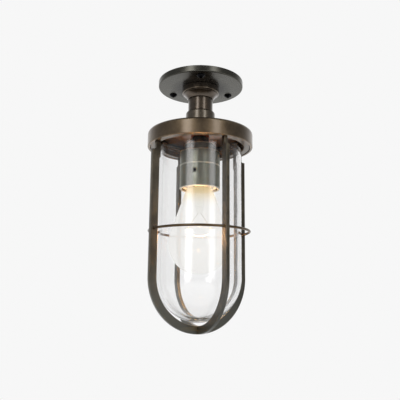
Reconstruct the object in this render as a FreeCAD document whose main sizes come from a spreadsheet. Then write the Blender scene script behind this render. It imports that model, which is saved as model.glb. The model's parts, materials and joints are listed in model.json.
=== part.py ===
import FreeCAD, Part
import math
import os

import Sketcher

# Porch ceiling lantern: a clear well glass in a barred guard, screwed into a round cap that hangs
# from a turned neck on a round ceiling plate.
#
# Frame: the origin is the centre of the ceiling plate's mounting face, +Z is up, so the lantern
# hangs towards -Z. The front is -Y. Lengths are in millimetres and angles in degrees.
# Every piece is drawn from its own seat and lowered to its level in the stack.

SIZES = {
    # ceiling plate
    "plate_radius": 42.9,
    "plate_thickness": 6.2,
    "plate_edge_round": 1.0,
    "plate_recess_radius": 24.0,
    "plate_recess_depth": 3.5,
    # three domed screws that hold the plate to the ceiling
    "fixing_count": 3,
    "fixing_circle_radius": 33.3,
    "fixing_hole_clearance": 0.25,
    "fixing_thread_radius": 2.0,
    "fixing_shank_radius": 1.77,
    "fixing_head_radius": 3.9,
    "fixing_head_height": 2.6,
    "fixing_head_rim": 0.6,
    "fixing_length": 10.0,
    "fixing_point_chamfer": 0.5,
    "fixing_socket_radius": 1.44,
    "fixing_socket_depth": 1.3,
    # turned neck
    "boss_radius": 18.8,
    "boss_height": 6.2,
    "boss_edge_round": 0.8,
    "cup_top_radius": 17.6,
    "cup_bottom_radius": 13.1,
    "cup_height": 6.4,
    "cup_hollow": 14.0,
    "groove_height": 0.4,
    "groove_depth": 0.9,
    "tube_radius": 12.4,
    "tube_height": 13.2,
    "collar_radius": 14.7,
    "collar_height": 22.6,
    "collar_round": 2.2,
    # hollow rod that carries the stack, with its nuts and washers
    "rod_radius": 4.95,
    "rod_bore_radius": 3.75,
    "rod_hole_clearance": 0.15,
    "rod_top_drop": 0.4,
    "rod_entry_length": 5.5,
    "top_washer_radius": 9.0,
    "top_washer_thickness": 0.6,
    "top_nut_width": 15.0,
    "top_nut_height": 2.2,
    "earth_screw_offset": 17.5,
    "earth_head_radius": 3.4,
    "earth_head_height": 1.8,
    "earth_shank_radius": 1.9,
    "earth_shank_length": 1.9,
    "slot_width": 0.8,
    "slot_depth": 0.8,
    # cap
    "cap_radius": 52.5,
    "cap_height": 15.6,
    "cap_ceiling": 3.0,
    "cap_lip": 2.5,
    "cap_top_round": 2.9,
    "cap_bottom_round": 0.9,
    "cap_washer_radius": 9.2,
    "cap_washer_thickness": 1.0,
    "cap_nut_width": 15.0,
    "cap_nut_height": 8.1,
    # glass and its seal
    "seal_inner_margin": 0.6,
    "seal_outer_margin": 0.8,
    "seal_thickness": 2.5,
    "glass_wall": 2.5,
    "glass_bottom_extra": 1.2,
    "glass_flange_gap": 2.0,
    "glass_flange_width": 6.9,
    "glass_flange_height": 3.3,
    "glass_flange_round": 1.0,
    "glass_fillet": 1.8,
    "glass_straight_length": 134.3,
    "moving_gap": 0.3,
    # guard
    "guard_glass_gap": 2.5,
    "guard_collar_height": 5.6,
    "guard_thread_gap": 0.5,
    "guard_collar_chamfer": 0.6,
    "hoop_azimuth": 29.15,
    "hoop_proud": 0.2,
    "hoop_bar_width": 7.8,
    "hoop_bar_thickness": 3.55,
    "hoop_edge_chamfer": 0.35,
    "hoop_notch_height": 8.2,
    "hoop_notch_gap": 0.5,
    "hoop_notch_round": 1.6,
    "hoop_step": 1.1,
    "hoop_step_height": 15.6,
    "wire_radius": 1.2,
    "wire_drop": 84.2,
    "wire_hole_clearance": 0.06,
    # lampholder
    "holder_radius": 19.95,
    "holder_wall": 1.2,
    "holder_neck_radius": 16.0,
    "holder_neck_height": 7.3,
    "holder_neck_round": 1.2,
    "holder_shoulder_round": 0.9,
    "holder_entry_radius": 8.0,
    "holder_cap_height": 22.2,
    "skirt_height": 23.3,
    "skirt_spigot_height": 3.0,
    "skirt_spigot_gap": 0.05,
    "skirt_mouth_radius": 17.9,
    "skirt_rim_height": 1.4,
    "skirt_rim_chamfer": 0.8,
    "grub_drop": 7.4,
    "grub_azimuth": -105.0,
    "grub_radius": 1.5,
    "grub_length": 2.1,
    "grub_inset": 0.2,
    "insulator_radius": 17.2,
    "insulator_top_radius": 14.3,
    "insulator_flange_height": 2.4,
    "insulator_floor": 6.8,
    "insulator_length": 32.0,
    "shell_inner_radius": 13.45,
    "shell_wall": 0.5,
    "shell_length": 22.0,
    "shell_seat_gap": 0.15,
    "contact_width": 6.0,
    "contact_thickness": 0.5,
    "contact_reach": 7.5,
    "contact_drop": 0.7,
    "contact_bend": 3.5,
    "terminal_offset": 8.0,
    "terminal_radius": 1.8,
    "terminal_length": 5.5,
    "terminal_head_radius": 2.9,
    "terminal_head_height": 1.6,
    "terminal_gap": 0.1,
    # bulb
    "bulb_length": 109.0,
    "bulb_radius": 30.0,
    "bulb_neck_radius": 14.6,
    "bulb_glass_wall": 0.7,
    "bulb_cap_radius": 13.1,
    "bulb_cap_wall": 0.4,
    "bulb_cap_length": 20.6,
    "bulb_insulator_height": 3.4,
    "bulb_insulator_radius": 11.0,
    "bulb_tip_radius": 4.8,
    "bulb_tip_height": 1.3,
    "stem_foot_radius": 8.6,
    "stem_waist_radius": 4.4,
    "stem_wall": 0.8,
    "stem_length": 44.0,
    "stem_flare_length": 11.0,
    "stem_pinch_height": 6.0,
    "lead_radius": 0.4,
    "lead_spread": 13.0,
    "lead_length": 18.0,
    "filament_radius": 0.45,
    "filament_bow": 4.5,
}

doc = FreeCAD.newDocument("PorchLantern")
sheet = doc.addObject("Spreadsheet::Sheet", "Sizes")
for row, (alias, size) in enumerate(SIZES.items(), start=1):
    sheet.set(f"A{row}", alias.replace("_", " "))
    sheet.set(f"B{row}", str(size))
    sheet.setAlias(f"B{row}", alias)
doc.recompute()


class Dim:
    """A size as a number and as the sheet expression that gives it. Sums of sizes keep both."""

    def __init__(self, value, text):
        self.value = float(value)
        self.text = text

    def __add__(self, other):
        other = as_dim(other)
        return Dim(self.value + other.value, f"({self.text} + {other.text})")

    def __sub__(self, other):
        other = as_dim(other)
        return Dim(self.value - other.value, f"({self.text} - {other.text})")

    def __mul__(self, other):
        other = as_dim(other)
        return Dim(self.value * other.value, f"({self.text} * {other.text})")

    def __truediv__(self, other):
        other = as_dim(other)
        return Dim(self.value / other.value, f"({self.text} / {other.text})")

    def __neg__(self):
        return Dim(-self.value, f"(0 - {self.text})")

    __radd__ = __add__
    __rmul__ = __mul__


def as_dim(number):
    return number if isinstance(number, Dim) else Dim(number, repr(float(number)))


def root(dim):
    """The square root of a size squared."""
    return Dim(math.sqrt(dim.value), f"sqrt({dim.text})")


class Sizes:
    """The sheet's cells as Dims, by name."""

    def __getattr__(self, name):
        return Dim(sheet.get(name), f"Sizes.{name}")


s = Sizes()
AXIS = as_dim(0.0)
FULL_TURN = 360.0
HEXAGON = 6
NUT_CORNER_ANGLE = 30.0  # degrees, of the cone that turns off a nut's corners
NUT_CORNER_MARGIN = 1.0
TERMINAL_COUNT = 2
LEFT = 1
RIGHT = -1
parts = []


class Arc:
    """The next side of an outline is an arc of under a half circle that turns left or right."""

    def __init__(self, radius, turn):
        self.radius = as_dim(radius)
        self.turn = turn


def new_body(label, level=None):
    """A sub-part, lowered to its level in the stack."""
    body = doc.addObject("PartDesign::Body", label)
    body.Label = label
    if level is not None:
        body.setExpression("Placement.Base.z", as_dim(level).text)
    parts.append(body)
    return body


def arc_side(a, b, arc):
    """A circle arc between two points of an outline."""
    ax, ay, bx, by = a[0].value, a[1].value, b[0].value, b[1].value
    chord = math.hypot(bx - ax, by - ay)
    rise = math.sqrt(max(arc.radius.value**2 - chord**2 / 4, 0.0))
    cx = (ax + bx) / 2 - arc.turn * rise * (by - ay) / chord
    cy = (ay + by) / 2 + arc.turn * rise * (bx - ax) / chord
    circle = Part.Circle(FreeCAD.Vector(cx, cy, 0), FreeCAD.Vector(0, 0, 1), arc.radius.value)
    first, last = (a, b) if arc.turn == LEFT else (b, a)
    start = math.atan2(first[1].value - cy, first[0].value - cx)
    end = math.atan2(last[1].value - cy, last[0].value - cx)
    return Part.ArcOfCircle(circle, start, end)


def bind(sketch, constraint, dim):
    """Adds a constraint whose size follows the sheet."""
    index = sketch.addConstraint(constraint)
    sketch.setExpression(f"Constraints[{index}]", dim.text)


def draw_outline(sketch, outline):
    """A closed outline of corners, joined by straight sides and by arcs, each corner bound."""
    corners = []
    arcs = {}
    for item in outline:
        if isinstance(item, Arc):
            arcs[len(corners) - 1] = item
        else:
            corners.append((as_dim(item[0]), as_dim(item[1])))
    count = len(corners)
    first = sketch.GeometryCount
    starts = []
    ends = []
    for i, corner in enumerate(corners):
        following = corners[(i + 1) % count]
        arc = arcs.get(i)
        if arc is None:
            here = FreeCAD.Vector(corner[0].value, corner[1].value, 0)
            there = FreeCAD.Vector(following[0].value, following[1].value, 0)
            sketch.addGeometry(Part.LineSegment(here, there), False)
        else:
            sketch.addGeometry(arc_side(corner, following, arc), False)
        forward = arc is None or arc.turn == LEFT
        starts.append((first + i, 1 if forward else 2))
        ends.append((first + i, 2 if forward else 1))
    for i in range(count):
        sketch.addConstraint(Sketcher.Constraint("Coincident", *ends[i], *starts[(i + 1) % count]))
    for i, (across, up) in enumerate(corners):
        place_point(sketch, starts[i], across, up)
    for i, arc in arcs.items():
        bind(sketch, Sketcher.Constraint("Radius", first + i, arc.radius.value), arc.radius)


def place_point(sketch, point, across, up):
    """Fixes a sketch point at two bound coordinates. A point of an axis is put on that axis."""
    for kind, dim, axis in (("DistanceX", across, -2), ("DistanceY", up, -1)):
        if dim is AXIS:
            sketch.addConstraint(Sketcher.Constraint("PointOnObject", *point, axis))
        else:
            bind(sketch, Sketcher.Constraint(kind, -1, 1, *point, dim.value), dim)


def new_sketch(body, name, role):
    """An empty sketch on one of the body's own origin planes."""
    sketch = body.newObject("Sketcher::SketchObject", name)
    plane = next(f for f in body.Origin.OriginFeatures if f.Role == role)
    sketch.AttachmentSupport = [(plane, "")]
    sketch.MapMode = "FlatFace"
    return sketch


def revolve(body, name, outline):
    """Turns an outline of (radius, height) corners about the body's Z axis."""
    sketch = new_sketch(body, f"{name}_outline", "XZ_Plane")
    draw_outline(sketch, outline)
    turned = body.newObject("PartDesign::Revolution", name)
    turned.Profile = sketch
    turned.ReferenceAxis = (sketch, ["V_Axis"])
    turned.Angle = FULL_TURN
    body.Tip = turned
    return turned


def turned_piece(label, level, outline):
    """A piece that comes off the lathe in one outline."""
    body = new_body(label, level)
    revolve(body, f"{label}_turning", outline)
    return body


def pad(body, name, sketch, length, symmetric=False):
    feature = body.newObject("PartDesign::Pad", name)
    feature.Profile = sketch
    feature.SideType = "Symmetric" if symmetric else "One side"
    feature.setExpression("Length", as_dim(length).text)
    body.Tip = feature
    return feature


def pocket(body, name, sketch, length=None, symmetric=False, upward=False):
    """Cuts a sketch through all, or to a bound depth."""
    feature = body.newObject("PartDesign::Pocket", name)
    feature.Profile = sketch
    feature.SideType = "Symmetric" if symmetric else "One side"
    if length is None:
        feature.Type = "ThroughAll"
    else:
        feature.setExpression("Length", as_dim(length).text)
    feature.Reversed = upward
    body.Tip = feature
    return feature


def polar_copies(body, name, feature, count):
    """Repeats a feature evenly about the body's Z axis."""
    pattern = body.newObject("PartDesign::PolarPattern", name)
    pattern.Originals = [feature]
    axis = next(f for f in body.Origin.OriginFeatures if f.Role == "Z_Axis")
    pattern.Axis = (axis, [""])
    pattern.Angle = FULL_TURN
    pattern.setExpression("Occurrences", as_dim(count).text)
    body.Tip = pattern
    return pattern


def circle_in(sketch, across, up, radius):
    """A full circle with a bound centre and radius."""
    across, up, radius = as_dim(across), as_dim(up), as_dim(radius)
    centre = FreeCAD.Vector(across.value, up.value, 0)
    index = sketch.addGeometry(Part.Circle(centre, FreeCAD.Vector(0, 0, 1), radius.value), False)
    bind(sketch, Sketcher.Constraint("Radius", index, radius.value), radius)
    place_point(sketch, (index, 3), across, up)


def rectangle(left, right, low, high):
    return [(left, low), (right, low), (right, high), (left, high)]


def hex_corners(radius):
    """The corners of a hexagon of this corner radius."""
    turns = [math.radians(FULL_TURN * i / HEXAGON) for i in range(HEXAGON)]
    return [(radius * math.cos(t), radius * math.sin(t)) for t in turns]


def washer(label, level, inner, outer, thickness):
    """A flat ring below its level."""
    return turned_piece(label, level, rectangle(inner, outer, -thickness, AXIS))


def hex_nut(label, level, width, height, bore):
    """A hexagon nut below its level, its corners turned off on both faces."""
    body = new_body(label, level)
    corner_radius = width / math.sqrt(3)
    sketch = new_sketch(body, f"{label}_hexagon", "XY_Plane")
    draw_outline(sketch, hex_corners(corner_radius))
    blank = pad(body, f"{label}_blank", sketch, height)
    blank.Reversed = True
    sketch = new_sketch(body, f"{label}_bore_circle", "XY_Plane")
    circle_in(sketch, AXIS, AXIS, bore)
    pocket(body, f"{label}_bore", sketch)
    face_radius = width / 2
    beyond = corner_radius + NUT_CORNER_MARGIN
    slope = math.tan(math.radians(NUT_CORNER_ANGLE))
    drop = (beyond - face_radius) * slope
    for name, top, turn in (("upper", AXIS, -1), ("lower", -height, 1)):
        cone = new_sketch(body, f"{label}_{name}_cone", "XZ_Plane")
        draw_outline(cone, [(face_radius, top), (beyond, top), (beyond, top + drop * turn)])
        groove = body.newObject("PartDesign::Groove", f"{label}_{name}_corners")
        groove.Profile = cone
        groove.ReferenceAxis = (cone, ["V_Axis"])
        groove.Angle = FULL_TURN
        body.Tip = groove
    return body


# Levels of the stack, from the mounting face down.
plate_bottom = -s.plate_thickness
boss_bottom = plate_bottom - s.boss_height
cup_bottom = boss_bottom - s.cup_height
tube_bottom = cup_bottom - s.tube_height
cap_top = tube_bottom - s.collar_height
cap_bottom = cap_top - s.cap_height
cap_inside = cap_top - s.cap_ceiling
cap_washer_bottom = cap_inside - s.cap_washer_thickness
cap_nut_bottom = cap_washer_bottom - s.cap_nut_height
holder_top = cap_nut_bottom
holder_seam = holder_top - s.holder_cap_height
holder_mouth = holder_seam - s.skirt_height
seal_bottom = cap_inside - s.seal_thickness
glass_top = seal_bottom - s.moving_gap
glass_flange_bottom = glass_top - s.glass_flange_height
glass_centre = glass_flange_bottom - s.glass_straight_length
guard_top = glass_flange_bottom - s.moving_gap
guard_collar_bottom = guard_top - s.guard_collar_height

# Radii that mate, from the cap's lip inwards.
rod_hole = s.rod_radius + s.rod_hole_clearance
lip_inner = s.cap_radius - s.cap_lip
flange_radius = lip_inner - s.glass_flange_gap
glass_radius = flange_radius - s.glass_flange_width
guard_outer = lip_inner - s.guard_thread_gap
guard_inner = glass_radius + s.guard_glass_gap
hoop_radius = s.cap_radius + s.hoop_proud
hoop_inner = hoop_radius - s.hoop_bar_width
hoop_middle = hoop_radius - s.hoop_bar_width / 2
hoop_bend = glass_centre - guard_collar_bottom  # the hoops bend about the bowl's own centre


def make_ceiling_plate():
    """A turned disc with a recess in its top for the nut and the wiring, and three screw holes."""
    body = new_body("ceiling_plate")
    edge = s.plate_edge_round
    bottom = -s.plate_thickness
    recess = -s.plate_recess_depth
    outline = [
        (rod_hole, recess),
        (rod_hole, bottom),
        (s.plate_radius - edge, bottom),
        Arc(edge, LEFT),
        (s.plate_radius, bottom + edge),
        (s.plate_radius, -edge / 2),
        Arc(edge / 2, LEFT),
        (s.plate_radius - edge / 2, AXIS),
        (s.plate_recess_radius, AXIS),
        (s.plate_recess_radius, recess),
    ]
    revolve(body, "plate_turning", outline)
    sketch = new_sketch(body, "fixing_hole_circle", "XY_Plane")
    hole_radius = s.fixing_thread_radius + s.fixing_hole_clearance
    circle_in(sketch, AXIS, -s.fixing_circle_radius, hole_radius)
    hole = pocket(body, "fixing_hole", sketch)
    polar_copies(body, "fixing_holes", hole, s.fixing_count)
    sketch = new_sketch(body, "earth_hole_circle", "XY_Plane")
    circle_in(sketch, s.earth_screw_offset, AXIS, s.earth_shank_radius)
    pocket(body, "earth_hole", sketch, s.plate_recess_depth + s.earth_shank_length)


def make_fixing_screws():
    """Domed screws with a hexagon socket: the head under the plate, the thread above it."""
    body = new_body("fixing_screws", plate_bottom)
    circle = -s.fixing_circle_radius
    proud = s.fixing_length
    thread_start = s.plate_thickness
    shank = s.fixing_shank_radius
    thread = s.fixing_thread_radius
    head = s.fixing_head_radius
    rim = -s.fixing_head_rim
    crown = -s.fixing_head_height
    dome = s.fixing_head_height - s.fixing_head_rim
    dome_radius = (head * head + dome * dome) / (dome * 2)
    chamfer = s.fixing_point_chamfer
    sketch = new_sketch(body, "fixing_screw_outline", "YZ_Plane")
    outline = [
        (circle, proud),
        (circle, crown),
        Arc(dome_radius, LEFT),
        (circle + head, rim),
        (circle + head, AXIS),
        (circle + shank, AXIS),
        (circle + shank, thread_start),
        (circle + thread, thread_start),
        (circle + thread, proud - chamfer),
        (circle + thread - chamfer, proud),
    ]
    draw_outline(sketch, outline)
    turned = body.newObject("PartDesign::Revolution", "fixing_screw_turning")
    turned.Profile = sketch
    turned.ReferenceAxis = (sketch, ["Edge1"])
    turned.Angle = FULL_TURN
    body.Tip = turned
    socket = new_sketch(body, "fixing_socket_hexagon", "XY_Plane")
    socket.setExpression("AttachmentOffset.Base.z", crown.text)
    corners = [(x, y + circle) for x, y in hex_corners(s.fixing_socket_radius)]
    draw_outline(socket, corners)
    cut = pocket(body, "fixing_socket", socket, s.fixing_socket_depth, upward=True)
    pattern = polar_copies(body, "fixing_screw_ring", turned, s.fixing_count)
    pattern.Originals = [turned, cut]


def make_neck():
    """Four turned pieces threaded on the rod: boss, cup, tube and collar."""
    edge = s.boss_edge_round
    boss = [
        (rod_hole, -s.boss_height),
        (s.boss_radius - edge, -s.boss_height),
        Arc(edge, LEFT),
        (s.boss_radius, edge - s.boss_height),
        (s.boss_radius, AXIS),
        (rod_hole, AXIS),
    ]
    turned_piece("neck_boss", plate_bottom, boss)
    groove = s.groove_height
    cup = [
        (rod_hole, -s.cup_height),
        (s.tube_radius - s.groove_depth, -s.cup_height),
        (s.tube_radius - s.groove_depth, groove - s.cup_height),
        (s.cup_bottom_radius, groove - s.cup_height),
        Arc(s.cup_hollow, RIGHT),
        (s.cup_top_radius, -groove),
        (s.cup_top_radius - s.groove_depth, -groove),
        (s.cup_top_radius - s.groove_depth, AXIS),
        (rod_hole, AXIS),
    ]
    turned_piece("neck_cup", boss_bottom, cup)
    tube = rectangle(rod_hole, s.tube_radius, -s.tube_height, AXIS)
    turned_piece("neck_tube", cup_bottom, tube)
    collar = [
        (rod_hole, -s.collar_height),
        (s.collar_radius, -s.collar_height),
        (s.collar_radius, -s.collar_round),
        Arc(s.collar_round, LEFT),
        (s.collar_radius - s.collar_round, AXIS),
        (rod_hole, AXIS),
    ]
    turned_piece("neck_collar", tube_bottom, collar)


def make_rod_and_nuts():
    """The hollow rod through the stack, with the nut and washer that clamp it at each end."""
    rod_top = -s.rod_top_drop
    rod_bottom = holder_top - s.rod_entry_length
    rod = rectangle(s.rod_bore_radius, s.rod_radius, rod_bottom - rod_top, AXIS)
    turned_piece("hollow_rod", rod_top, rod)
    washer_top = s.top_washer_thickness - s.plate_recess_depth
    washer("rod_top_washer", washer_top, rod_hole, s.top_washer_radius, s.top_washer_thickness)
    nut_top = washer_top + s.top_nut_height
    hex_nut("rod_top_nut", nut_top, s.top_nut_width, s.top_nut_height, s.rod_radius)
    washer("cap_washer", cap_inside, rod_hole, s.cap_washer_radius, s.cap_washer_thickness)
    hex_nut("cap_nut", cap_washer_bottom, s.cap_nut_width, s.cap_nut_height, s.rod_radius)


def slotted_screw(label, level, offset, head_radius, head_height, shank_radius, shank_length):
    """A cheese-head screw with a slot, its head above its level and its shank below."""
    body = new_body(label, level)
    body.setExpression("Placement.Base.x", as_dim(offset).text)
    outline = [
        (AXIS, -shank_length),
        (shank_radius, -shank_length),
        (shank_radius, AXIS),
        (head_radius, AXIS),
        (head_radius, head_height),
        (AXIS, head_height),
    ]
    revolve(body, f"{label}_turning", outline)
    half_slot = s.slot_width / 2
    sketch = new_sketch(body, f"{label}_slot_outline", "XZ_Plane")
    draw_outline(sketch, rectangle(-half_slot, half_slot, head_height - s.slot_depth, head_height))
    pocket(body, f"{label}_slot", sketch, symmetric=True)
    return body


def make_cap():
    """The turned cap: a flat top, a rounded shoulder and a lip that takes the guard's thread."""
    inner = lip_inner
    ceiling = -s.cap_ceiling
    bottom = -s.cap_height
    small = s.cap_bottom_round
    outline = [
        (rod_hole, ceiling),
        (inner - small, ceiling),
        Arc(small, RIGHT),
        (inner, ceiling - small),
        (inner, bottom + small / 2),
        (inner + small / 2, bottom),
        (s.cap_radius - small, bottom),
        Arc(small, LEFT),
        (s.cap_radius, bottom + small),
        (s.cap_radius, -s.cap_top_round),
        Arc(s.cap_top_round, LEFT),
        (s.cap_radius - s.cap_top_round, AXIS),
        (rod_hole, AXIS),
    ]
    turned_piece("cap", cap_top, outline)


def make_glass_and_seal():
    """A test-tube shaped well glass that hangs by its flange, and the ring that seals it."""
    seal_inner = glass_radius - s.seal_inner_margin
    seal_outer = flange_radius + s.seal_outer_margin
    seal = rectangle(seal_inner, seal_outer, -s.seal_thickness, AXIS)
    turned_piece("glass_seal", cap_inside, seal)
    outer = glass_radius
    inner = outer - s.glass_wall
    flange = -s.glass_flange_height
    centre = flange - s.glass_straight_length
    lip = s.glass_flange_round
    outline = [
        (inner, AXIS),
        (inner, centre),
        Arc(inner, RIGHT),
        (AXIS, centre - inner),
        (AXIS, centre - outer - s.glass_bottom_extra),
        Arc(bottom_radius(outer, s.glass_bottom_extra), LEFT),
        (outer, centre),
        (outer, flange - s.glass_fillet),
        Arc(s.glass_fillet, RIGHT),
        (outer + s.glass_fillet, flange),
        (flange_radius - lip, flange),
        Arc(lip, LEFT),
        (flange_radius, flange + lip),
        (flange_radius, -lip),
        Arc(lip, LEFT),
        (flange_radius - lip, AXIS),
    ]
    turned_piece("well_glass", glass_top, outline)


def bottom_radius(radius, extra):
    """The radius of an arc from the axis to a side, over a bowl that is this much deeper."""
    depth = radius + extra
    return root(radius * radius + depth * depth) / math.sqrt(2)


def make_guard_collar():
    """The threaded ring that screws into the cap's lip and lifts the glass against its seal."""
    bottom = -s.guard_collar_height
    chamfer = s.guard_collar_chamfer
    outline = [
        (guard_inner, bottom),
        (guard_outer, bottom),
        (guard_outer, -chamfer),
        (guard_outer - chamfer, AXIS),
        (guard_inner + chamfer, AXIS),
        (guard_inner, -chamfer),
    ]
    turned_piece("guard_collar", guard_top, outline)


def leg_outline(side):
    """One leg of a hoop, from its inside at the bend up over the notch to its outside."""
    tab_inner = hoop_inner - s.hoop_step
    tab_outer = guard_outer - s.hoop_notch_gap
    shelf = -s.hoop_notch_height
    notch = s.hoop_notch_round
    step = -s.hoop_step_height
    points = [
        (hoop_inner, hoop_bend),
        (hoop_inner, step - s.hoop_step),
        (tab_inner, step),
        (tab_inner, AXIS),
        (tab_outer, AXIS),
        (tab_outer, shelf + notch),
        Arc(notch, LEFT),
        (tab_outer + notch, shelf),
        (hoop_radius, shelf),
        (hoop_radius, hoop_bend),
    ]
    if side == RIGHT:
        return points
    return [p if isinstance(p, Arc) else (-p[0], p[1]) for p in reversed(points)]


def make_hoop(label, turn, lap_side):
    """A U of flat bar on edge, drawn in its own plane: two notched legs and a half-round bend."""
    body = new_body(label, guard_collar_bottom)
    turned_to = s.hoop_azimuth + turn
    body.Placement.Rotation = FreeCAD.Rotation(FreeCAD.Vector(0, 0, 1), turned_to.value)
    body.setExpression("Placement.Rotation.Angle", turned_to.text)
    outline = leg_outline(RIGHT)
    outline += [Arc(hoop_radius, RIGHT), (AXIS, hoop_bend - hoop_radius), Arc(hoop_radius, RIGHT)]
    outline += leg_outline(LEFT)
    outline += [Arc(hoop_inner, LEFT), (AXIS, hoop_bend - hoop_inner), Arc(hoop_inner, LEFT)]
    sketch = new_sketch(body, f"{label}_outline", "XZ_Plane")
    draw_outline(sketch, outline)
    bar = pad(body, f"{label}_bar", sketch, s.hoop_bar_thickness, symmetric=True)
    edges = body.newObject("PartDesign::Chamfer", f"{label}_edges")
    edges.Base = (bar, ["Face1"])
    edges.UseAllEdges = True
    edges.setExpression("Size", s.hoop_edge_chamfer.text)
    body.Tip = edges
    hole_radius = s.wire_radius + s.wire_hole_clearance
    sketch = new_sketch(body, f"{label}_wire_hole_circles", "XZ_Plane")
    for across in (hoop_middle, -hoop_middle):
        circle_in(sketch, across, -s.wire_drop, hole_radius)
    pocket(body, f"{label}_wire_holes", sketch, symmetric=True)
    half_lap = s.hoop_bar_thickness / 2
    lap_height = hoop_bend - hoop_middle
    far = lap_height + s.hoop_bar_width * lap_side
    sketch = new_sketch(body, f"{label}_lap_outline", "XZ_Plane")
    draw_outline(sketch, rectangle(-half_lap, half_lap, min(lap_height, far, key=height_of),
                                   max(lap_height, far, key=height_of)))
    pocket(body, f"{label}_lap", sketch, symmetric=True)


def height_of(dim):
    return dim.value


def make_wire_ring():
    """The round wire that ties the four bars together, through a hole in each."""
    body = new_body("guard_wire_ring", guard_collar_bottom)
    sketch = new_sketch(body, "wire_section", "XZ_Plane")
    circle_in(sketch, hoop_middle, -s.wire_drop, s.wire_radius)
    ring = body.newObject("PartDesign::Revolution", "wire_ring")
    ring.Profile = sketch
    ring.ReferenceAxis = (sketch, ["V_Axis"])
    ring.Angle = FULL_TURN
    body.Tip = ring


def make_lampholder_shells():
    """The two nickelled shells: a shouldered cap with the rod's entry, and a skirt below it."""
    wall = s.holder_wall
    neck = s.holder_neck_radius
    outer = s.holder_radius
    neck_round = s.holder_neck_round
    shoulder = s.holder_shoulder_round
    drop = -s.holder_neck_height
    outline = [
        (s.rod_radius, -s.rod_entry_length),
        (s.holder_entry_radius, -s.rod_entry_length),
        (s.holder_entry_radius, -wall),
        (neck - wall, -wall),
        (neck - wall, drop - wall),
        (outer - wall, drop - wall),
        (outer - wall, -s.holder_cap_height),
        (outer, -s.holder_cap_height),
        (outer, drop - shoulder),
        Arc(shoulder, LEFT),
        (outer - shoulder, drop),
        (neck, drop),
        (neck, -neck_round),
        Arc(neck_round, LEFT),
        (neck - neck_round, AXIS),
        (s.rod_radius, AXIS),
    ]
    turned_piece("lampholder_cap", holder_top, outline)
    body = new_body("lampholder_skirt", holder_seam)
    spigot = outer - wall - s.skirt_spigot_gap
    bottom = -s.skirt_height
    chamfer = s.skirt_rim_chamfer
    rim = bottom + s.skirt_rim_height
    inner = outer - wall
    outline = [
        (spigot - wall, -wall),
        (inner, -wall - wall),
        (inner, rim),
        (s.skirt_mouth_radius, rim),
        (s.skirt_mouth_radius, bottom),
        (outer - chamfer, bottom),
        (outer, bottom + chamfer),
        (outer, AXIS),
        (spigot, AXIS),
        (spigot, s.skirt_spigot_height),
        (spigot - wall, s.skirt_spigot_height),
    ]
    revolve(body, "skirt_turning", outline)
    body.Placement.Rotation = FreeCAD.Rotation(FreeCAD.Vector(0, 0, 1), s.grub_azimuth.value)
    body.setExpression("Placement.Rotation.Angle", s.grub_azimuth.text)
    sketch = new_sketch(body, "grub_hole_circle", "YZ_Plane")
    circle_in(sketch, AXIS, -s.grub_drop, s.grub_radius)
    pocket(body, "grub_hole", sketch, upward=True)


def make_grub_screw():
    """A headless slotted screw, let into the skirt from the side."""
    body = new_body("lampholder_grub_screw", holder_seam - s.grub_drop)
    body.Placement.Rotation = FreeCAD.Rotation(FreeCAD.Vector(0, 0, 1), s.grub_azimuth.value)
    body.setExpression("Placement.Rotation.Angle", s.grub_azimuth.text)
    face = s.holder_radius - s.grub_inset
    sketch = new_sketch(body, "grub_circle", "YZ_Plane")
    sketch.setExpression("AttachmentOffset.Base.z", (face - s.grub_length).text)
    circle_in(sketch, AXIS, AXIS, s.grub_radius)
    pad(body, "grub_shank", sketch, s.grub_length)
    half_slot = s.slot_width / 2
    sketch = new_sketch(body, "grub_slot_outline", "XZ_Plane")
    draw_outline(sketch, rectangle(face - s.slot_depth, face, -half_slot, half_slot))
    pocket(body, "grub_slot", sketch, symmetric=True)


def make_lampholder_inside():
    """The ceramic body with its thread shell, sprung centre contact and two terminal screws."""
    top = holder_seam + s.skirt_spigot_height + s.insulator_flange_height + s.terminal_length
    flange_top = -s.terminal_length
    flange_bottom = flange_top - s.insulator_flange_height
    flange = s.holder_radius - s.holder_wall - s.skirt_spigot_gap
    floor = -s.insulator_floor
    bore = s.shell_inner_radius + s.shell_wall + s.shell_seat_gap
    body = new_body("lampholder_insulator", top)
    outline = [
        (AXIS, floor),
        (bore, floor),
        (bore, -s.insulator_length),
        (s.insulator_radius, -s.insulator_length),
        (s.insulator_radius, flange_bottom),
        (flange, flange_bottom),
        (flange, flange_top),
        (s.insulator_top_radius, flange_top),
        (s.insulator_top_radius, AXIS),
        (AXIS, AXIS),
    ]
    revolve(body, "insulator_turning", outline)
    sketch = new_sketch(body, "terminal_hole_circles", "XY_Plane")
    for across in (s.terminal_offset, -s.terminal_offset):
        circle_in(sketch, across, AXIS, s.terminal_radius + s.terminal_gap)
    pocket(body, "terminal_holes", sketch, s.terminal_length)
    make_terminal_screws(top)
    shell_top = top + floor
    shell = [
        (s.shell_inner_radius, -s.shell_length),
        (s.shell_inner_radius + s.shell_wall, -s.shell_length),
        (s.shell_inner_radius + s.shell_wall, AXIS),
        (s.contact_reach + s.shell_wall, AXIS),
        (s.contact_reach + s.shell_wall, -s.shell_wall),
        (s.shell_inner_radius, -s.shell_wall),
    ]
    turned_piece("screw_shell", shell_top, shell)
    body = new_body("centre_contact", shell_top)
    reach = s.contact_reach - s.contact_thickness
    thin = s.contact_thickness
    drop = s.contact_drop
    bend = s.contact_bend
    bend_end = bend * 2 / 3
    strip = [
        (-reach, AXIS),
        (-reach, -thin),
        (-bend, -thin),
        (-bend_end, -drop - thin),
        (bend, -drop - thin),
        (bend, -drop),
        (thin / 2 - bend_end, -drop),
        (thin / 2 - bend, AXIS),
    ]
    sketch = new_sketch(body, "contact_strip_outline", "XZ_Plane")
    draw_outline(sketch, strip)
    pad(body, "contact_strip", sketch, s.contact_width, symmetric=True)
    return shell_top


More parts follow.
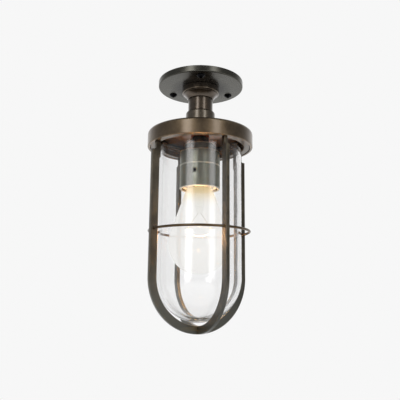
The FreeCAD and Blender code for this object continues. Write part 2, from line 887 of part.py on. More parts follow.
def make_terminal_screws(top):
    """Two slotted screws in one node, one each side of the axis."""
    body = new_body("terminal_screws", top)
    head = s.terminal_head_radius
    shank = s.terminal_radius
    height = s.terminal_head_height
    depth = s.terminal_length - s.terminal_gap
    sketch = new_sketch(body, "terminal_screw_outline", "XZ_Plane")
    offset = s.terminal_offset
    outline = [
        (offset, height),
        (offset, -depth),
        (offset + shank, -depth),
        (offset + shank, AXIS),
        (offset + head, AXIS),
        (offset + head, height),
    ]
    draw_outline(sketch, outline)
    turned = body.newObject("PartDesign::Revolution", "terminal_screw_turning")
    turned.Profile = sketch
    turned.ReferenceAxis = (sketch, ["Edge1"])
    turned.Angle = FULL_TURN
    polar_copies(body, "terminal_screw_pair", turned, TERMINAL_COUNT)


def make_bulb(tip_level):
    """A clear pear-shaped bulb: screw cap, insulator, tip, envelope, stem, leads and filament."""
    tip_top = tip_level
    tip = [
        (AXIS, -s.bulb_tip_height),
        (s.bulb_tip_radius, -s.bulb_tip_height),
        (s.bulb_tip_radius, -s.bulb_tip_height / 2),
        (s.bulb_tip_radius / 2, AXIS),
        (AXIS, AXIS),
    ]
    turned_piece("bulb_tip_contact", tip_top, tip)
    insulator_top = tip_top - s.bulb_tip_height
    inner = s.bulb_cap_radius - s.bulb_cap_wall
    insulator = [
        (AXIS, -s.bulb_insulator_height),
        (s.bulb_insulator_radius, -s.bulb_insulator_height),
        (s.bulb_tip_radius + s.bulb_cap_wall, AXIS),
        (AXIS, AXIS),
    ]
    turned_piece("bulb_cap_insulator", insulator_top, insulator)
    cap_level = insulator_top - s.bulb_insulator_height
    cap_shell = [
        (inner, -s.bulb_cap_length),
        (s.bulb_cap_radius, -s.bulb_cap_length),
        (s.bulb_cap_radius, s.bulb_cap_wall - s.bulb_cap_radius + s.bulb_insulator_radius),
        (s.bulb_insulator_radius, AXIS),
        (AXIS, AXIS),
        (AXIS, -s.bulb_cap_wall),
        (s.bulb_insulator_radius, -s.bulb_cap_wall),
        (inner, s.bulb_insulator_radius - s.bulb_cap_radius),
    ]
    turned_piece("bulb_cap", cap_level, cap_shell)
    make_envelope(tip_top, cap_level)
    make_stem_and_filament(cap_level)


def tangent_corner(across, up, radius):
    """Where a line from a point beside and above a circle at the origin touches it, outside."""
    square = across * across + up * up
    reach = root(square - radius * radius)
    touch_across = (radius * across + reach * up) * radius / square
    touch_up = (radius * up - reach * across) * radius / square
    return touch_across, touch_up


def make_envelope(tip_top, cap_level):
    """The blown glass: a round bowl drawn up in a cone to the neck inside the screw cap."""
    bottom = tip_top - s.bulb_length
    centre = bottom + s.bulb_radius
    neck = cap_level - s.bulb_cap_length - centre
    top = neck + s.bulb_cap_length / 3
    sleeve = s.bulb_cap_radius - s.bulb_cap_wall * 2
    wall = s.bulb_glass_wall
    shoulder = neck - s.bulb_neck_radius / 3
    out_across, out_up = tangent_corner(s.bulb_neck_radius, shoulder, s.bulb_radius)
    in_across, in_up = tangent_corner(s.bulb_neck_radius - wall, shoulder, s.bulb_radius - wall)
    outline = [
        (AXIS, -s.bulb_radius),
        Arc(s.bulb_radius, LEFT),
        (out_across, out_up),
        (s.bulb_neck_radius, shoulder),
        (sleeve, neck),
        (sleeve, top),
        (sleeve - wall, top),
        (sleeve - wall, neck),
        (s.bulb_neck_radius - wall, shoulder),
        (in_across, in_up),
        Arc(s.bulb_radius - wall, RIGHT),
        (AXIS, wall - s.bulb_radius),
    ]
    turned_piece("bulb_envelope", centre, outline)


def make_stem_and_filament(cap_level):
    """The flared stem in the neck, pinched round two leads that spread to a bowed filament."""
    foot = s.stem_foot_radius
    waist = s.stem_waist_radius
    wall = s.stem_wall
    length = s.stem_length
    flare = s.stem_flare_length
    stem_top = cap_level - s.bulb_cap_wall
    stem = [
        (foot, AXIS),
        (foot - wall, AXIS),
        (waist - wall, -flare),
        (waist - wall, s.stem_pinch_height - length),
        (AXIS, s.stem_pinch_height - length),
        (AXIS, -length),
        (waist - wall * 2, -length),
        (waist, s.stem_pinch_height - length),
        (waist, -flare),
    ]
    turned_piece("bulb_stem", stem_top, stem)
    pinch = stem_top - length
    lead_radius = s.lead_radius.value
    filament_radius = s.filament_radius.value
    start = FreeCAD.Vector((waist - wall * 2).value / 2, 0, -lead_radius)
    end = FreeCAD.Vector(s.lead_spread.value, 0, -s.lead_length.value)
    lead = swept_wire([Part.makeLine(start, end)], start, end - start, lead_radius)
    mirrored = lead.mirror(FreeCAD.Vector(0, 0, 0), FreeCAD.Vector(1, 0, 0))
    add_shape("bulb_lead_wires", Part.makeCompound([lead, mirrored]), pinch)
    inset = FreeCAD.Vector(0, 0, -lead_radius - filament_radius)
    left = FreeCAD.Vector(-end.x, 0, end.z) + inset
    right = end + inset
    middle = FreeCAD.Vector(0, 0, end.z - s.filament_bow.value)
    bow = Part.Arc(left, middle, right).toShape()
    filament = swept_wire([bow], left, bow.tangentAt(bow.FirstParameter), filament_radius)
    add_shape("bulb_filament", filament, pinch)


def swept_wire(path, start, direction, radius):
    """A round wire along a path."""
    circle = Part.makeCircle(radius, start, direction)
    return Part.Wire(path).makePipeShell([Part.Wire([circle])], True, False)


def add_shape(label, shape, level):
    """A bent wire as a plain feature, lowered to its level."""
    feature = doc.addObject("Part::Feature", label)
    feature.Label = label
    feature.Shape = shape
    feature.setExpression("Placement.Base.z", as_dim(level).text)
    parts.append(feature)


make_ceiling_plate()
make_fixing_screws()
make_neck()
make_rod_and_nuts()
slotted_screw("earth_screw", -s.plate_recess_depth, s.earth_screw_offset, s.earth_head_radius,
              s.earth_head_height, s.earth_shank_radius, s.earth_shank_length)
make_cap()
make_glass_and_seal()
make_guard_collar()
make_hoop("guard_hoop_a", 0, 1)
make_hoop("guard_hoop_b", 90, -1)
make_wire_ring()
make_lampholder_shells()
make_grub_screw()
contact_seat = make_lampholder_inside()
make_bulb(contact_seat - s.contact_drop - s.contact_thickness - s.moving_gap)

doc.recompute()

broken = [o.Name for o in doc.Objects if {"Invalid", "Error"} & set(o.State)]
if broken:
    raise RuntimeError(f"these objects failed: {broken}")
for part in parts:
    if part.Shape.isNull() or not part.Shape.isValid():
        raise RuntimeError(f"{part.Label} has no valid shape")

os.makedirs("parts", exist_ok=True)
for part in parts:
    part.Shape.exportStep(f"parts/{part.Label}.step")
    box = part.Shape.BoundBox
    print(f"{part.Label}: {len(part.Shape.Solids)} solid(s), {part.Shape.Volume:.0f} mm3, "
          f"z {box.ZMin:.1f} to {box.ZMax:.1f}")
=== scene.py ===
# %% [markdown]
# # Porch ceiling lantern
# A clear well glass hangs in a guard of flat bars under a round cap, and a turned neck joins the cap
# to a ceiling plate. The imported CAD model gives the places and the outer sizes, and finer sizes are
# named where they are first needed. This script dresses the lantern: finely turned shells with
# rounded edges and threads, aged brass, satin nickel, glass, and a lit bulb.

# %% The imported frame
import json
import math

import bmesh
import bpy
from mathutils import Matrix, Vector

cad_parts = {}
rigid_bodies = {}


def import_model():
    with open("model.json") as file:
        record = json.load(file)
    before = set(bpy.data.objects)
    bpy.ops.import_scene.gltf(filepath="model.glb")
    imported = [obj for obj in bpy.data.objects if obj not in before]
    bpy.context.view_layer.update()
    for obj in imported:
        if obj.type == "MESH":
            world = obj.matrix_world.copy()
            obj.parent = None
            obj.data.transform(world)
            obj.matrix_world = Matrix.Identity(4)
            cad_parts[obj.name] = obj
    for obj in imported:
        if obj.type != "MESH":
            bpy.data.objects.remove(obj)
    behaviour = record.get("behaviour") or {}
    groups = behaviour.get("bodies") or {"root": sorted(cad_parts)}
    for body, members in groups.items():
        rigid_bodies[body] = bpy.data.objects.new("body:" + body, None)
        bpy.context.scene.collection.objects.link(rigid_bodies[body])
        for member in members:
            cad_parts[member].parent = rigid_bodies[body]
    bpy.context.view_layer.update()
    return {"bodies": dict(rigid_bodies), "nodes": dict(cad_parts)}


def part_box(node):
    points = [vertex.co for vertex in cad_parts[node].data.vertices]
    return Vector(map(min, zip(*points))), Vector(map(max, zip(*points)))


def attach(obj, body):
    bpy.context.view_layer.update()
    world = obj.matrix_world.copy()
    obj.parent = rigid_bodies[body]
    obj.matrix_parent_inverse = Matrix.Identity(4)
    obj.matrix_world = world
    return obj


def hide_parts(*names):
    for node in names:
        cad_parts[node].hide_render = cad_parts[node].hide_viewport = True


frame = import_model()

MM = 0.001

# %% [markdown]
# ## Reading sizes from the frame
# A turned piece is known by its radius, its top and its bottom. The frame gives the box of each CAD
# piece, so these three are read from it and are never typed twice.

# %% Radius, top and bottom of a CAD piece
def turned_size(node):
    """(radius, top, bottom) of a piece that is round about the lantern's axis, in millimetres."""
    low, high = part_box(node)
    return high.x / MM, high.z / MM, low.z / MM


for piece in ("ceiling_plate", "cap", "well_glass", "lampholder_skirt"):
    print(piece, [round(v, 2) for v in turned_size(piece)])

# %% [markdown]
# ## Adding shader nodes
# A procedural finish is a small graph. One function adds a node, fills its settings and sockets, and
# links whatever comes from another node, so that each finish below reads as a short list.

# %% One node with its settings and links
def add_node(tree, kind, settings=None, inputs=None):
    """Adds a shader node. An input is a plain value, or another node's output to link."""
    made = tree.nodes.new(kind)
    for name, value in (settings or {}).items():
        setattr(made, name, value)
    for socket, value in (inputs or {}).items():
        if isinstance(value, bpy.types.NodeSocket):
            tree.links.new(value, made.inputs[socket])
        else:
            made.inputs[socket].default_value = value
    return made


# %% Colours from hex
def linear(colour):
    """An sRGB hex colour such as '#8a7a5c' as the linear colour that shaders use."""
    values = []
    for start in (1, 3, 5):
        share = int(colour[start:start + 2], 16) / 255
        values.append(share / 12.92 if share <= 0.04045 else ((share + 0.055) / 1.055) ** 2.4)
    return (*values, 1.0)


print("mid grey #808080 in linear light:", round(linear("#808080")[0], 3))

# %% A bare material with its shader and output
def new_finish(name):
    """An empty material, with its tree, a Principled shader and the output it feeds."""
    finish = bpy.data.materials.new(name)
    finish.use_nodes = True
    tree = finish.node_tree
    tree.nodes.clear()
    output = add_node(tree, "ShaderNodeOutputMaterial")
    shader = add_node(tree, "ShaderNodeBsdfPrincipled")
    tree.links.new(shader.outputs[0], output.inputs["Surface"])
    return finish, tree, shader, output


# %% [markdown]
# ## Aged brass
# The metalwork is turned brass, darkened with a chemical patina and then waxed. The patina is uneven:
# soft clouds of brown and grey, with finer specks. Handling rubs the edges back a little towards bright
# metal. The lathe leaves fine lines round each piece, which break up its highlights. The wax is a clear
# coat: it lays a white gleam over the brown one, so the highlights look paler than the metal. Noise in
# the piece's own space draws all this, where a painted picture would need the mesh unwrapped. The
# rubbed edges follow an attribute that is set below, on rounded corners and along the bars' edges.

# %% Patina clouds, specks and rubbed edges
CLOUD = 14.0  # mm, width of a patch of patina
SPECK = 1.2   # mm, width of a speck
SMOOTH = {"interpolation_type": "SMOOTHSTEP"}
COLOURS = {"data_type": "RGBA"}


def patina(tree, cloud, speck, deep, warm, rubbed_and_sheen):
    """The patina's colour: clouds between two tones, darker specks, and bare metal on the handled
    edges.
    """
    tone = add_node(tree, "ShaderNodeMapRange", SMOOTH, {
        "Value": cloud, "From Min": 0.36, "From Max": 0.66})
    clouds = add_node(tree, "ShaderNodeMix", COLOURS, {
        0: tone.outputs[0], 6: linear(deep), 7: linear(warm)})
    dots = add_node(tree, "ShaderNodeMapRange", inputs={
        "Value": speck, "From Min": 0.58, "From Max": 0.74, "To Max": 0.35})
    spotted = add_node(tree, "ShaderNodeMix", COLOURS, {
        0: dots.outputs[0], 6: clouds.outputs[2], 7: linear(deep)})
    edge = add_node(tree, "ShaderNodeAttribute", {"attribute_name": "rubbed_and_sheen"})
    uneven = add_node(tree, "ShaderNodeMath", {"operation": "MULTIPLY"}, {
        0: edge.outputs["Fac"], 1: cloud})
    bare = add_node(tree, "ShaderNodeMapRange", SMOOTH, {
        "Value": uneven.outputs[0], "From Min": 0.3, "From Max": 0.7, "To Max": 0.5})
    return add_node(tree, "ShaderNodeMix", COLOURS, {
        0: bare.outputs[0], 6: spotted.outputs[2], 7: linear(rubbed_and_sheen)}).outputs[2]


# %% Pits and turned lines
PIT_DEPTH = 0.04   # mm
TOOL_LINE = 0.5    # mm, feed of the lathe tool; the real 0.1 mm lines are too fine to show
LINE_DEPTH = 0.02  # mm


def turned_relief(tree, speck, reach, height, lines):
    """The surface's normal: fine pits and, where lines is set, the lathe's lines round the piece."""
    pits = add_node(tree, "ShaderNodeBump", inputs={
        "Height": speck, "Strength": 0.14, "Distance": PIT_DEPTH * MM})
    if not lines:
        return pits.outputs[0]
    along = add_node(tree, "ShaderNodeMath", {"operation": "ADD"}, {0: reach, 1: height})
    turned = add_node(tree, "ShaderNodeTexNoise", {"noise_dimensions": "1D"}, {
        "W": along.outputs[0], "Scale": 1 / (TOOL_LINE * MM), "Detail": 2.0})
    return add_node(tree, "ShaderNodeBump", inputs={
        "Height": turned.outputs["Fac"], "Strength": 0.35, "Distance": LINE_DEPTH * MM,
        "Normal": pits.outputs[0]}).outputs[0]


# %% Brass from its tones, its relief and its wax
WAX_ROUGHNESS = 0.16
# Under the cap this orange-brown is partly painted light: a thinner patina, made more orange to stand
# in for the bulb's warm glow there.
INSIDE_BRASS_AND_GLOW = "#724a20"  # the patina is thin where the attribute "inside" is set, as under the cap


def aged_brass(name, deep, warm, rubbed_and_sheen, roughness, wax, lines=True, painted_shading=None,
               unstained_tone=INSIDE_BRASS_AND_GLOW):
    """Dark patina on brass. deep and warm are the patina's two tones, rubbed is the bare edge,
    and wax is how much of the clear coat covers it. shade is painted light: a paler or darker tone
    that the patina turns to along "up" or "out", between two places in millimetres.
    unstained_tone shows where "inside" is; its default, under the cap, is partly a painted glow."""
    finish, tree, shader = new_finish(name)[:3]
    place = add_node(tree, "ShaderNodeTexCoord").outputs["Object"]
    cloud = add_node(tree, "ShaderNodeTexNoise", inputs={
        "Vector": place, "Scale": 1 / (CLOUD * MM), "Detail": 5.0, "Roughness": 0.62}).outputs["Fac"]
    speck = add_node(tree, "ShaderNodeTexNoise", inputs={
        "Vector": place, "Scale": 1 / (SPECK * MM), "Detail": 3.0}).outputs["Fac"]
    across, ahead, height = add_node(tree, "ShaderNodeSeparateXYZ", inputs={0: place}).outputs
    flat = add_node(tree, "ShaderNodeCombineXYZ", inputs={0: across, 1: ahead})
    reach = add_node(tree, "ShaderNodeVectorMath", {"operation": "LENGTH"}, {
        0: flat.outputs[0]}).outputs["Value"]
    surface = patina(tree, cloud, speck, deep, warm, rubbed_and_sheen)
    if painted_shading:
        other, way, start, end = painted_shading
        share = add_node(tree, "ShaderNodeMapRange", SMOOTH, {
            "Value": height if way == "up" else reach,
            "From Min": start * MM, "From Max": end * MM})
        surface = add_node(tree, "ShaderNodeMix", COLOURS, {
            0: share.outputs[0], 6: surface, 7: linear(other)}).outputs[2]
    inside = add_node(tree, "ShaderNodeAttribute", {"attribute_name": "inside"})
    unstained = add_node(tree, "ShaderNodeMix", COLOURS, {
        0: inside.outputs["Fac"], 6: surface, 7: linear(unstained_tone)})
    gloss = add_node(tree, "ShaderNodeMapRange", inputs={
        "Value": cloud, "From Min": 0.3, "From Max": 0.7,
        "To Min": roughness - 0.05, "To Max": roughness + 0.07})
    relief = turned_relief(tree, speck, reach, height, lines)
    shader.inputs["Metallic"].default_value = 1.0
    shader.inputs["Coat Weight"].default_value = wax
    shader.inputs["Coat Roughness"].default_value = WAX_ROUGHNESS
    tree.links.new(unstained.outputs[2], shader.inputs["Base Color"])
    tree.links.new(gloss.outputs[0], shader.inputs["Roughness"])
    tree.links.new(relief, shader.inputs["Normal"])
    return finish


# %% The brass of each piece
# A painted dark reflection: the plate turns near black towards the boss, where the neck is mirrored in
# its underside.
PLATE_BRASS = aged_brass("aged_brass_plate", "#504f49", "#5a5851", "#68645a", 0.27, 0.2,
                         painted_shading=("#1c1913", "out", 33, 19))
NECK_BRASS = aged_brass("aged_brass_neck", "#50453a", "#625445", "#8a7a60", 0.30, 0.9)
CAP_BRASS = aged_brass("aged_brass_cap", "#645440", "#75644e", "#8f7d60", 0.34, 0.8)
GUARD_BRASS = aged_brass("aged_brass_guard", "#544c40", "#645a4b", "#85775e", 0.36, 0.5)
# Painted light: towards the bottom the bars turn a paler grey, for the bright floor that they mirror.
# The bare brass at the crossing is the braze.
BAR_BRASS = aged_brass("aged_brass_bar", "#504a40", "#60584b", "#82765e", 0.36, 0.7, lines=False,
                       painted_shading=("#666660", "up", -175, -235), unstained_tone="#b9a06a")
RING_BRASS = aged_brass("aged_brass_ring", "#5c4c3a", "#6e5a42", "#8f744c", 0.36, 0.3, lines=False)
COLLAR_BRASS = aged_brass("aged_brass_collar", "#5f5648", "#70665a", "#8c8270", 0.34, 0.9)
ROD_BRASS = aged_brass("bright_brass", "#a8905a", "#bda66c", "#d0ba80", 0.30, 0.0)
print("brass finishes:", len(bpy.data.materials))

# %% [markdown]
# ## Satin nickel
# The lampholder's shells are spun brass with a nickel plate, brushed to a satin. The brushing runs
# round the shell, and the plate has dulled, so its highlight is soft and a little green-grey. Noise
# drawn out sideways gives the brush lines. The steel, the contacts, the leads and the bulb's cap are
# made the same way, in tones of their own.

# %% Brushed, dulled nickel
BRUSH = 0.35  # mm between brush lines, drawn coarser than the real 0.05 mm so that they show
HAZE = 7.0    # mm, width of a dulled patch


def satin_metal(name, base, dulled, roughness, edge_highlight_tone="#d9d7cb"):
    """Brushed metal between two tones. worn is a painted highlight, laid where the attribute "rubbed"
    is set.
    """
    finish, tree, shader = new_finish(name)[:3]
    place = add_node(tree, "ShaderNodeTexCoord").outputs["Object"]
    stretched = add_node(tree, "ShaderNodeMapping", inputs={
        "Vector": place, "Scale": (0.15, 0.15, 1.0)})
    brush = add_node(tree, "ShaderNodeTexNoise", inputs={
        "Vector": stretched.outputs[0], "Scale": 1 / (BRUSH * MM), "Detail": 3.0})
    haze = add_node(tree, "ShaderNodeTexNoise", inputs={
        "Vector": place, "Scale": 1 / (HAZE * MM), "Detail": 4.0})
    colour = add_node(tree, "ShaderNodeMix", COLOURS, {
        0: haze.outputs["Fac"], 6: linear(base), 7: linear(dulled)})
    gloss = add_node(tree, "ShaderNodeMapRange", inputs={
        "Value": haze.outputs["Fac"], "From Min": 0.3, "From Max": 0.7,
        "To Min": roughness - 0.04, "To Max": roughness + 0.06})
    relief = add_node(tree, "ShaderNodeBump", inputs={
        "Height": brush.outputs["Fac"], "Strength": 0.3, "Distance": 0.02 * MM})
    # A painted highlight: rounded edges, such as the lampholder's shoulder, are given a pale tone.
    edge = add_node(tree, "ShaderNodeAttribute", {"attribute_name": "rubbed_and_sheen"})
    bright = add_node(tree, "ShaderNodeMix", COLOURS, {
        0: edge.outputs["Fac"], 6: colour.outputs[2], 7: linear(edge_highlight_tone)})
    shader.inputs["Metallic"].default_value = 1.0
    tree.links.new(bright.outputs[2], shader.inputs["Base Color"])
    tree.links.new(gloss.outputs[0], shader.inputs["Roughness"])
    tree.links.new(relief.outputs[0], shader.inputs["Normal"])
    return finish


NICKEL = satin_metal("satin_nickel", "#92938a", "#7e8073", 0.36)
BLACK_STEEL = satin_metal("blackened_steel", "#26262a", "#1b1b1d", 0.38)
ZINC_STEEL = satin_metal("zinc_plated_steel", "#a9adb0", "#8f9396", 0.34)
CONTACT_BRASS = satin_metal("contact_brass", "#c2a766", "#ab8f52", 0.30)
BULB_ALUMINIUM = satin_metal("bulb_cap_aluminium", "#c9c8c4", "#b2b0aa", 0.28)
SOLDER = satin_metal("tin_solder", "#b9b9b6", "#96968f", 0.42)
LEAD_WIRE = satin_metal("nickel_wire", "#a39d90", "#8a8375", 0.30)
print("finishes with the satin metals:", len(bpy.data.materials))

# %% [markdown]
# ## Rubber, fibre and ceramic
# These are dielectrics, hardly seen while the lantern is closed. Moulded rubber is dark with a dull
# bloom, red vulcanised fibre is pressed paper, and steatite is a fired ceramic with a glazed skin. One
# mottle between two tones does for them all, and for the black glass in the bulb's cap.

# %% Speckled dielectrics
def speckled(name, base, other, grain, roughness, depth):
    """A dielectric mottled between two tones. grain and depth are in millimetres."""
    finish, tree, shader = new_finish(name)[:3]
    place = add_node(tree, "ShaderNodeTexCoord").outputs["Object"]
    mottle = add_node(tree, "ShaderNodeTexNoise", inputs={
        "Vector": place, "Scale": 1 / (grain * MM), "Detail": 4.0})
    colour = add_node(tree, "ShaderNodeMix", COLOURS, {
        0: mottle.outputs["Fac"], 6: linear(base), 7: linear(other)})
    relief = add_node(tree, "ShaderNodeBump", inputs={
        "Height": mottle.outputs["Fac"], "Strength": 0.4, "Distance": depth * MM})
    shader.inputs["Roughness"].default_value = roughness
    tree.links.new(colour.outputs[2], shader.inputs["Base Color"])
    tree.links.new(relief.outputs[0], shader.inputs["Normal"])
    return finish


RUBBER = speckled("moulded_rubber", "#232323", "#343332", 0.8, 0.72, 0.04)
FIBRE = speckled("vulcanised_fibre", "#7c3a2c", "#94513c", 0.9, 0.62, 0.03)
STEATITE = speckled("glazed_steatite", "#e4ddcb", "#efe9da", 2.5, 0.22, 0.02)
VITRITE = speckled("bulb_cap_glass", "#17151a", "#26232a", 1.5, 0.18, 0.02)
print("finishes with the dielectrics:", len(bpy.data.materials))

# %% [markdown]
# ## Clear glass
# Soda-lime glass bends light by an index of about 1.5. Pressed glass has slow ripples from the mould,
# which pull at the reflections. Light has to pass between the bulb and what is outside the glass: a
# renderer finds it hard to aim through a bent wall, so the glass lets shadow rays and diffuse rays
# pass straight on, with little loss.

# %% Glass that lets the lamps' light through
GLASS_INDEX = 1.5
RIPPLE = 22.0  # mm, width of a ripple in pressed glass
PASSED = (0.98, 0.975, 0.97, 1.0)  # share of red, green and blue that passes one surface


def clear_glass(name, tint, ripple_depth):
    """Clear glass, with what a further layer needs: its tree, last shader, output and place."""
    finish, tree, shader, output = new_finish(name)
    place = add_node(tree, "ShaderNodeTexCoord").outputs["Object"]
    ripple = add_node(tree, "ShaderNodeTexNoise", inputs={
        "Vector": place, "Scale": 1 / (RIPPLE * MM), "Detail": 1.0})
    relief = add_node(tree, "ShaderNodeBump", inputs={
        "Height": ripple.outputs["Fac"], "Strength": 0.5, "Distance": ripple_depth * MM})
    shader.inputs["Base Color"].default_value = linear(tint)
    shader.inputs["Roughness"].default_value = 0.0
    shader.inputs["IOR"].default_value = GLASS_INDEX
    shader.inputs["Transmission Weight"].default_value = 1.0
    tree.links.new(relief.outputs[0], shader.inputs["Normal"])
    rays = add_node(tree, "ShaderNodeLightPath")
    passing = add_node(tree, "ShaderNodeMath", {"operation": "MAXIMUM"}, {
        0: rays.outputs["Is Shadow Ray"], 1: rays.outputs["Is Diffuse Ray"]})
    open_air = add_node(tree, "ShaderNodeBsdfTransparent", inputs={"Color": PASSED})
    mixed = add_node(tree, "ShaderNodeMixShader", inputs={
        0: passing.outputs[0], 1: shader.outputs[0], 2: open_air.outputs[0]})
    tree.links.new(mixed.outputs[0], output.inputs["Surface"])
    return finish, tree, mixed, output, place


WELL_GLASS = clear_glass("clear_pressed_glass", "#ffffff", 0.25)[0]
print("made", WELL_GLASS.name)

# %% [markdown]
# ## The lit bulb
# A clear bulb that is lit glares. The glare is painted on the envelope's glass as a glow of its own,
# nearly white round the bowl and more golden up the neck. The painted glow veils what is behind the
# bulb, so it is mixed into the glass and not only added to it. Its share and its colour follow the
# height.

# %% Envelope glass with a warm veil of light
bulb_radius, bulb_top, bulb_bottom = turned_size("bulb_envelope")
filament_low, filament_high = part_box("bulb_filament")
GLOW_LEVEL = filament_low.z
VEIL = 0.36        # share of the glare in one pass through the wall, level with the filament
VEIL_NECK = 0.38   # the same at the neck
NECK_FULL = 12.0   # mm below the envelope's top, where the neck's share is reached
GOLD_START = 26.0  # mm below the top, where the glare starts to turn golden
GOLD_FULL = 7.0    # mm below the top, where it is all golden

BULB_GLASS, tree, clear, output, place = clear_glass("blown_bulb_glass", "#fefefe", 0.05)
height = add_node(tree, "ShaderNodeSeparateXYZ", inputs={0: place}).outputs[2]
veil = add_node(tree, "ShaderNodeMapRange", SMOOTH, {
    "Value": height, "From Min": GLOW_LEVEL, "From Max": (bulb_top - NECK_FULL) * MM,
    "To Min": VEIL, "To Max": VEIL_NECK})
warmth = add_node(tree, "ShaderNodeMapRange", SMOOTH, {
    "Value": height, "From Min": (bulb_top - GOLD_START) * MM,
    "From Max": (bulb_top - GOLD_FULL) * MM})
glare = add_node(tree, "ShaderNodeMix", COLOURS, {
    0: warmth.outputs[0], 6: linear("#faf9f6"), 7: linear("#f0d7a4")})
# Painted glow: the envelope's glass gives out the glare as light of its own.
shine = add_node(tree, "ShaderNodeEmission", inputs={"Color": glare.outputs[2], "Strength": 1.0})
both = add_node(tree, "ShaderNodeMixShader", inputs={
    0: veil.outputs[0], 1: clear.outputs[0], 2: shine.outputs[0]})
tree.links.new(both.outputs[0], output.inputs["Surface"])
STEM_GLASS = clear_glass("stem_glass", "#f4f6f2", 0.02)[0]
print("glare from", round(GLOW_LEVEL / MM, 1), "to", round(bulb_top, 1), "mm")

# %% Glowing tungsten
HEAT_PATCH = 2.0  # mm, width of a hotter patch of the wire
FILAMENT_GLOW = 14.0
FILAMENT, tree, shader = new_finish("glowing_tungsten")[:3]
place = add_node(tree, "ShaderNodeTexCoord").outputs["Object"]
heat = add_node(tree, "ShaderNodeTexNoise", inputs={
    "Vector": place, "Scale": 1 / (HEAT_PATCH * MM), "Detail": 2.0})
warmth = add_node(tree, "ShaderNodeMix", COLOURS, {
    0: heat.outputs["Fac"], 6: linear("#ffd79a"), 7: linear("#ffe9c4")})
tree.links.new(warmth.outputs[2], shader.inputs["Emission Color"])
tree.links.new(warmth.outputs[2], shader.inputs["Base Color"])
shader.inputs["Emission Strength"].default_value = FILAMENT_GLOW
print("finishes with the bulb's:", len(bpy.data.materials))

# %% [markdown]
# ## Turning a piece
# Each round piece is drawn as a closed outline of corners, most of them rounded as a file or an emery
# cloth leaves them, and the outline is spun about the axis. A bevel modifier could round them too, but
# here each corner states a rounding of its own. Extra loops beside each rounding keep the flat faces
# flat when they are smoothly shaded. The rubbed-edge attribute is full on the rounding and fades out
# towards these loops.

# %% Round the corners of an outline
EDGE_STEP = math.radians(18)  # between the points of a rounding
SUPPORT = 0.5        # mm, how far the extra loop lies from a rounding
SUPPORT_SHARE = 0.3  # of the straight beside it, at most


def round_corners(outline):
    """(radius, height, rounding) corners as points (radius, height, rubbed), in millimetres."""
    points = []
    for i, (across, up, rounding) in enumerate(outline):
        corner = Vector((across, up))
        if not rounding:
            points.append((across, up, 0.0))
            continue
        back = Vector(outline[i - 1][:2]) - corner
        ahead = Vector(outline[(i + 1) % len(outline)][:2]) - corner
        half = back.angle(ahead) / 2
        reach = rounding / math.tan(half)
        centre = corner + (back.normalized() + ahead.normalized()).normalized() * (
            rounding / math.sin(half))
        start = corner + back.normalized() * reach
        end = corner + ahead.normalized() * reach
        steps = max(2, round((math.pi - 2 * half) / EDGE_STEP))
        room = min(SUPPORT, SUPPORT_SHARE * (back.length - reach))
        points.append((*(start + back.normalized() * room), 0.0))
        for k in range(steps + 1):
            way = (start - centre).slerp(end - centre, k / steps) * rounding
            points.append((*(centre + way), 1.0))
        room = min(SUPPORT, SUPPORT_SHARE * (ahead.length - reach))
        points.append((*(end + ahead.normalized() * room), 0.0))
    return points


def arc(centre_up, radius, start, end, steps, stretch=1.0):
    """Points on an arc about the axis, in degrees from straight down, with no further rounding."""
    points = []
    for k in range(steps + 1):
        turn = math.radians(start + (end - start) * k / steps)
        points.append((radius * math.sin(turn), centre_up - radius * stretch * math.cos(turn), 0))
    return points


print("points of a rounded square corner:", len(round_corners([(0, 0, 0), (9, 0, 1), (9, 9, 0)])) - 2)

# %% Objects and clean meshes
SHARP = 38          # degrees, the least angle between faces that stays a crisp edge
GLASS_SHARP = 60    # the same for glass
MERGE = 1e-7        # m, points closer than this are one
CURVE_MERGE = 1e-6  # the same for meshes that come from a curve


def add_object(name, data):
    """Puts data into the scene as an object."""
    made = bpy.data.objects.new(name, data)
    bpy.context.scene.collection.objects.link(made)
    return made


def clean_mesh(mesh, merge, sharp):
    """Merges doubled points, turns the faces outward, and shades smoothly between sharp edges."""
    shape = bmesh.new()
    shape.from_mesh(mesh)
    bmesh.ops.remove_doubles(shape, verts=shape.verts, dist=merge)
    bmesh.ops.recalc_face_normals(shape, faces=shape.faces)
    shape.to_mesh(mesh)
    shape.free()
    mesh.shade_smooth()
    mesh.set_sharp_from_angle(angle=math.radians(sharp))


def mesh_piece(name, vertices, faces, finish, body, slot, replaced=(), sharp=SHARP):
    """A mesh object in the row frame, smoothly shaded, that rides on a body."""
    mesh = bpy.data.meshes.new(name)
    mesh.from_pydata([Vector(v) * MM for v in vertices], [], faces)
    clean_mesh(mesh, MERGE, sharp)
    piece = add_object(name, mesh)
    piece.data.materials.append(finish)
    piece.modifiers.new("weighted_normals", "WEIGHTED_NORMAL").keep_sharp = True
    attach(piece, body)
    if replaced:
        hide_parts(*replaced)
    return piece


# %% Spin the outline into a mesh
TURNS = 180  # facets round a full turn
SAME = 1e-6  # mm, radii closer than this are one


